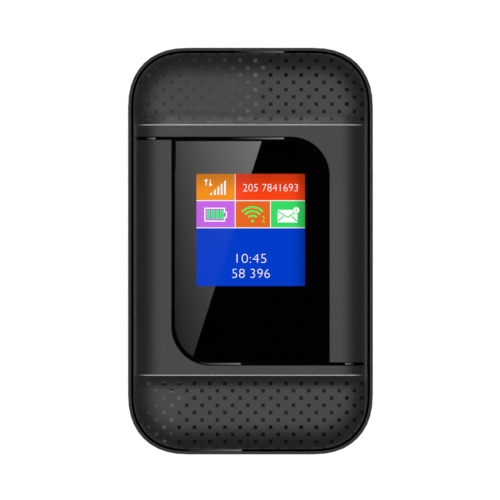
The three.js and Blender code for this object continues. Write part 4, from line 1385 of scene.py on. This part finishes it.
# Slits of light aimed at a share of the upper ramp's width, with lean in degrees, distance, size, radiance
# and spread in degrees
RAMP_SLITS = (
    ("ramp_slit", 38, 0.12, (0.06, 0.0026), 0.14, 3),
    ("ramp_beam", 25, 0.05, (0.06, 0.006), 0.04, 8),
)
RAMP_SHARE = 0.45

# Low panels all round, with number, distance and height of the middle, size and radiance
SIDE_PANELS = 8
SIDE_DISTANCE = 0.8
SIDE_HEIGHT = 0.16
SIDE_PANEL = ((0.6, 0.28), 0.5)

SUN_STRENGTH = 2.4
WORLD_STRENGTH = 0.5
FLOOR_RADIUS = 3
PAPER_SIZE = 20 * MM
PAPER_SPREAD = 0.01
CAMERA_CLIP = (0.01, 20)


def area_light(name, place, aim, size, radiance, spread=180):
    """A rectangle of light that the camera doesn't see, with a set radiance."""
    data = bpy.data.lights.new(name, "AREA")
    data.shape = "RECTANGLE"
    data.size, data.size_y = size
    data.energy = radiance * math.pi * size[0] * size[1]
    data.spread = math.radians(spread)
    lamp = placed(name, data)
    lamp.location = place
    lamp.rotation_euler = (Vector(aim) - Vector(place)).to_track_quat("-Z", "Y").to_euler()
    lamp.visible_camera = False
    return lamp


def receivers(name, objects):
    """A collection of the objects that a light reaches."""
    group = bpy.data.collections.new(name)
    for thing in objects:
        group.objects.link(thing)
    return group


def glow_card(name, box, height, group, material, cut_at=None):
    """A lit rectangle facing down, seen only as a mirror image, with one side cut along a slanted line."""
    left, right, foot, head = (side * MM for side in box)
    bm = bmesh.new()
    matrix = Matrix.Translation(((left + right) / 2, (foot + head) / 2, height))
    matrix @= Matrix.Diagonal((right - left, head - foot, 1, 1))
    bmesh.ops.create_grid(bm, x_segments=1, y_segments=1, size=0.5, matrix=matrix)
    if cut_at:
        place, slope = cut_at
        bisect(bm, (*place, height), (1, -slope, 0), clear=True)
    bmesh.ops.reverse_faces(bm, faces=bm.faces[:])
    mesh = stored(name, bm)
    mesh.materials.append(material)
    card = placed(name, mesh)
    card.visible_camera = card.visible_diffuse = card.visible_shadow = False
    card.light_linking.receiver_collection = group


def glow(name):
    """A card's lightless material, to which a light level is linked."""
    made = Finish(name, (0, 0, 0), 1.0)
    made.set("Specular IOR Level", 0)
    made.set("Emission Color", (1, 1, 1, 1))
    return made


def wedge_glow():
    """Light that the window shows paler near the slanted edge and the head."""
    made = glow("wedge_glow")
    along = made.mapped(made.axis("Y"), *(place * MM for place in WEDGE_ALONG),
                        *(shade / 255 for shade in WEDGE_SHADES))
    across = made.mapped(made.axis("X"), *(place * MM for place in WEDGE_ACROSS), 0, 1)
    across = made.math("MULTIPLY", made.math("POWER", across, WEDGE_BEND), WEDGE_ADDED / 255)
    shown = made.math("ADD", made.math("ADD", along, across), SHADE_OFFSET)
    level = made.math("POWER", made.math("DIVIDE", shown, 1 + SHADE_OFFSET), SHADE_POWER)
    made.link(made.math("DIVIDE", level, MIRRORED_SHARE), "Emission Strength")
    return made.material


def strip_glow(name, edge, slope, bright, settled, half):
    """Light for the inlays, brightest along the strip's edge and halving again and again to the left."""
    made = glow(name)
    lean = made.math("MULTIPLY", made.math("SUBTRACT", made.axis("Y"), edge.y), slope)
    beside = made.math("SUBTRACT", made.math("ADD", lean, edge.x), made.axis("X"))
    extra = made.math("POWER", 0.5, made.math("DIVIDE", beside, half * MM))
    steady = made.mapped(beside, 0, CARD_REACH * MM, settled, 0)
    level = made.math("ADD", made.math("MULTIPLY", extra, bright - settled), steady)
    made.link(level, "Emission Strength")
    return made.material


def bar_glow(name, left, right, start, end):
    """Light that rises along a bar, faster towards its brighter end."""
    made = glow(name)
    ends = (0, 1) if start < end else (1, 0)
    share = made.mapped(made.axis("X"), left * MM, right * MM, *ends)
    level = made.mapped(made.math("POWER", share, BAR_BEND), 0, 1, min(start, end), max(start, end))
    made.link(level, "Emission Strength")
    return made.material


class HOTSPOT_OT_stage(bpy.types.Operator):
    """Make the pale floor, the soft lights, the cards that the gloss mirrors and the camera"""

    bl_idname = "hotspot.stage"
    bl_label = "Stage"

    pixel: length("Pixel", 0.23475, "Size of one of the picture's 500 pixels at the rim")
    focal: length("Lens", 200, "Focal length of the camera")
    sensor: length("Sensor", 36, "Width of the camera's sensor")
    aim_x: length("Aim X", -0.11, "Middle of the picture across")
    aim_y: length("Aim Y", 0.26, "Middle of the picture along")
    picture: IntProperty(name="Picture", description="Pixels along each side of the picture", default=500)

    def camera(self, context):
        """The camera straight over the window. Returns its height."""
        data = bpy.data.cameras.new("camera")
        data.lens = self.focal / MM
        data.sensor_width = self.sensor / MM
        data.clip_start, data.clip_end = CAMERA_CLIP
        camera = placed("camera", data)
        distance = self.picture * self.pixel * self.focal / self.sensor
        camera.location = (self.aim_x, self.aim_y, FRAME_HIGH.z + distance)
        context.scene.camera = camera
        return camera.location.z

    def floor(self):
        """A pale paper disc."""
        bm = bmesh.new()
        bmesh.ops.create_circle(bm, cap_ends=True, segments=64, radius=FLOOR_RADIUS)
        made = Finish("floor_paper", colours().floor, 0.9)
        made.vary_colour(made.noise(PAPER_SIZE, detail=2), PAPER_SPREAD)
        mesh = stored("floor", bm)
        mesh.materials.append(made.material)
        floor = placed("floor", mesh)
        return floor

    def cards(self, height, window, inlays, trim):
        """The cards beside the camera whose mirror images show in the window, the inlays and the trim."""
        glow_card("wedge_card", (-CARD_REACH, CARD_REACH, WEDGE_FOOT, WEDGE_HEAD), height, window,
                  wedge_glow(), (Vector(WEDGE_START) * MM, WEDGE_SLOPE))
        for index, (near, far, edge_x, slope, bright, settled, half) in enumerate(INLAY_STRIPS):
            edge = Vector((edge_x, near)) * MM
            shade = strip_glow(f"strip_glow_{index}", edge, slope, bright, settled, half)
            box = (-CARD_REACH, CARD_REACH, min(near, far), max(near, far))
            glow_card(f"strip_card_{index}", box, height, inlays, shade, (edge, slope))
        fill = glow("fill_glow")
        fill.set("Emission Strength", RAMP_FILL_LIGHT)
        glow_card("fill_card", RAMP_FILL, height, inlays, fill.material)
        for index, (left, right, foot, head, start, end) in enumerate(TRIM_BARS):
            shade = bar_glow(f"bar_glow_{index}", left, right, start, end)
            glow_card(f"bar_card_{index}", (left, right, foot, head), height, trim, shade)

    def world(self, scene):
        """An even surrounding light that the gloss doesn't mirror."""
        world = bpy.data.worlds.new("studio")
        scene.world = world
        world.use_nodes = True
        background = world.node_tree.nodes["Background"]
        background.inputs["Color"].default_value = (1, 1, 1, 1)
        background.inputs["Strength"].default_value = WORLD_STRENGTH
        world.cycles_visibility.glossy = False

    def lamps(self, satin, inlays):
        """The soft boxes, the slits on the ramp and the low panels."""
        unpolished = receivers("unpolished", [*satin.objects, *inlays.objects])
        for name, (place, size, radiance), group in (("soft_box", SOFT_BOX, satin),
                                                     ("inlay_box", INLAY_BOX, inlays),
                                                     ("wide_box", WIDE_BOX, unpolished)):
            lamp = area_light(name, place, (0, 0, 0), size, radiance)
            lamp.light_linking.receiver_collection = group
        ramp = Vector((0, crease_y() + RAMP_SHARE * shell().ramp_width, COVER_HIGH.z))
        for name, lean, away, size, radiance, spread in RAMP_SLITS:
            lean = math.radians(lean)
            place = ramp + away * Vector((0, math.sin(lean), math.cos(lean)))
            lamp = area_light(name, place, ramp, size, radiance, spread)
            lamp.light_linking.receiver_collection = satin
        for step in range(SIDE_PANELS):
            turn = FULL_TURN * step / SIDE_PANELS
            place = Vector((SIDE_DISTANCE * math.cos(turn), SIDE_DISTANCE * math.sin(turn), SIDE_HEIGHT))
            area_light(f"side_panel_{step}", place, (0, 0, 0), *SIDE_PANEL)

    def sun(self, floor):
        """A light that only the floor receives and that nothing else blocks."""
        sun = bpy.data.lights.new("floor_light", "SUN")
        sun.energy = SUN_STRENGTH
        lamp = placed("floor_light", sun)
        lamp.light_linking.receiver_collection = receivers("floor_only", [floor])
        lamp.light_linking.blocker_collection = receivers("floor_blocks", [floor])

    def execute(self, context):
        scene = context.scene
        scene.view_settings.view_transform = "Standard"
        height = self.camera(context)
        floor = self.floor()
        self.world(scene)
        window, trim, inlays = (receivers(name, [bpy.data.objects[piece] for piece in pieces])
                                for name, pieces in (("window", WINDOW_PIECES), ("trim", TRIM_PIECES),
                                                     ("inlays", INLAY_PIECES)))
        polished = WINDOW_PIECES + TRIM_PIECES + INLAY_PIECES
        satin = receivers("satin", [item for item in scene.objects if item.type == "MESH" and item != floor
                                    and item.name not in polished])
        self.cards(height, window, inlays, trim)
        self.lamps(satin, inlays)
        self.sun(floor)
        return {"FINISHED"}


# Panel and registration


class HOTSPOT_PT_panel(bpy.types.Panel):
    """Lists the steps that make the hotspot"""

    bl_idname = "HOTSPOT_PT_panel"
    bl_label = "Pocket Hotspot"
    bl_space_type = "VIEW_3D"
    bl_region_type = "UI"
    bl_category = "Hotspot"

    def draw(self, context):
        for operator in OPERATORS:
            self.layout.operator(operator.bl_idname)


OPERATORS = (
    HOTSPOT_OT_covers,
    HOTSPOT_OT_trim,
    HOTSPOT_OT_window,
    HOTSPOT_OT_signs,
    HOTSPOT_OT_housing,
    HOTSPOT_OT_battery,
    HOTSPOT_OT_inner,
    HOTSPOT_OT_stage,
)
CLASSES = (ShellSizes, DisplaySizes, FinishColours, *OPERATORS, HOTSPOT_PT_panel)


def register():
    for cls in CLASSES:
        bpy.utils.register_class(cls)
    bpy.types.Scene.hotspot_shell = PointerProperty(type=ShellSizes)
    bpy.types.Scene.hotspot_display = PointerProperty(type=DisplaySizes)
    bpy.types.Scene.hotspot_colours = PointerProperty(type=FinishColours)


def unregister():
    del bpy.types.Scene.hotspot_colours
    del bpy.types.Scene.hotspot_display
    del bpy.types.Scene.hotspot_shell
    for cls in reversed(CLASSES):
        bpy.utils.unregister_class(cls)


def main():
    register()
    bpy.ops.hotspot.covers()
    bpy.ops.hotspot.trim()
    bpy.ops.hotspot.window()
    bpy.ops.hotspot.signs()
    bpy.ops.hotspot.housing()
    bpy.ops.hotspot.battery()
    bpy.ops.hotspot.inner()
    bpy.ops.hotspot.stage()


if __name__ == "__main__":
    main()
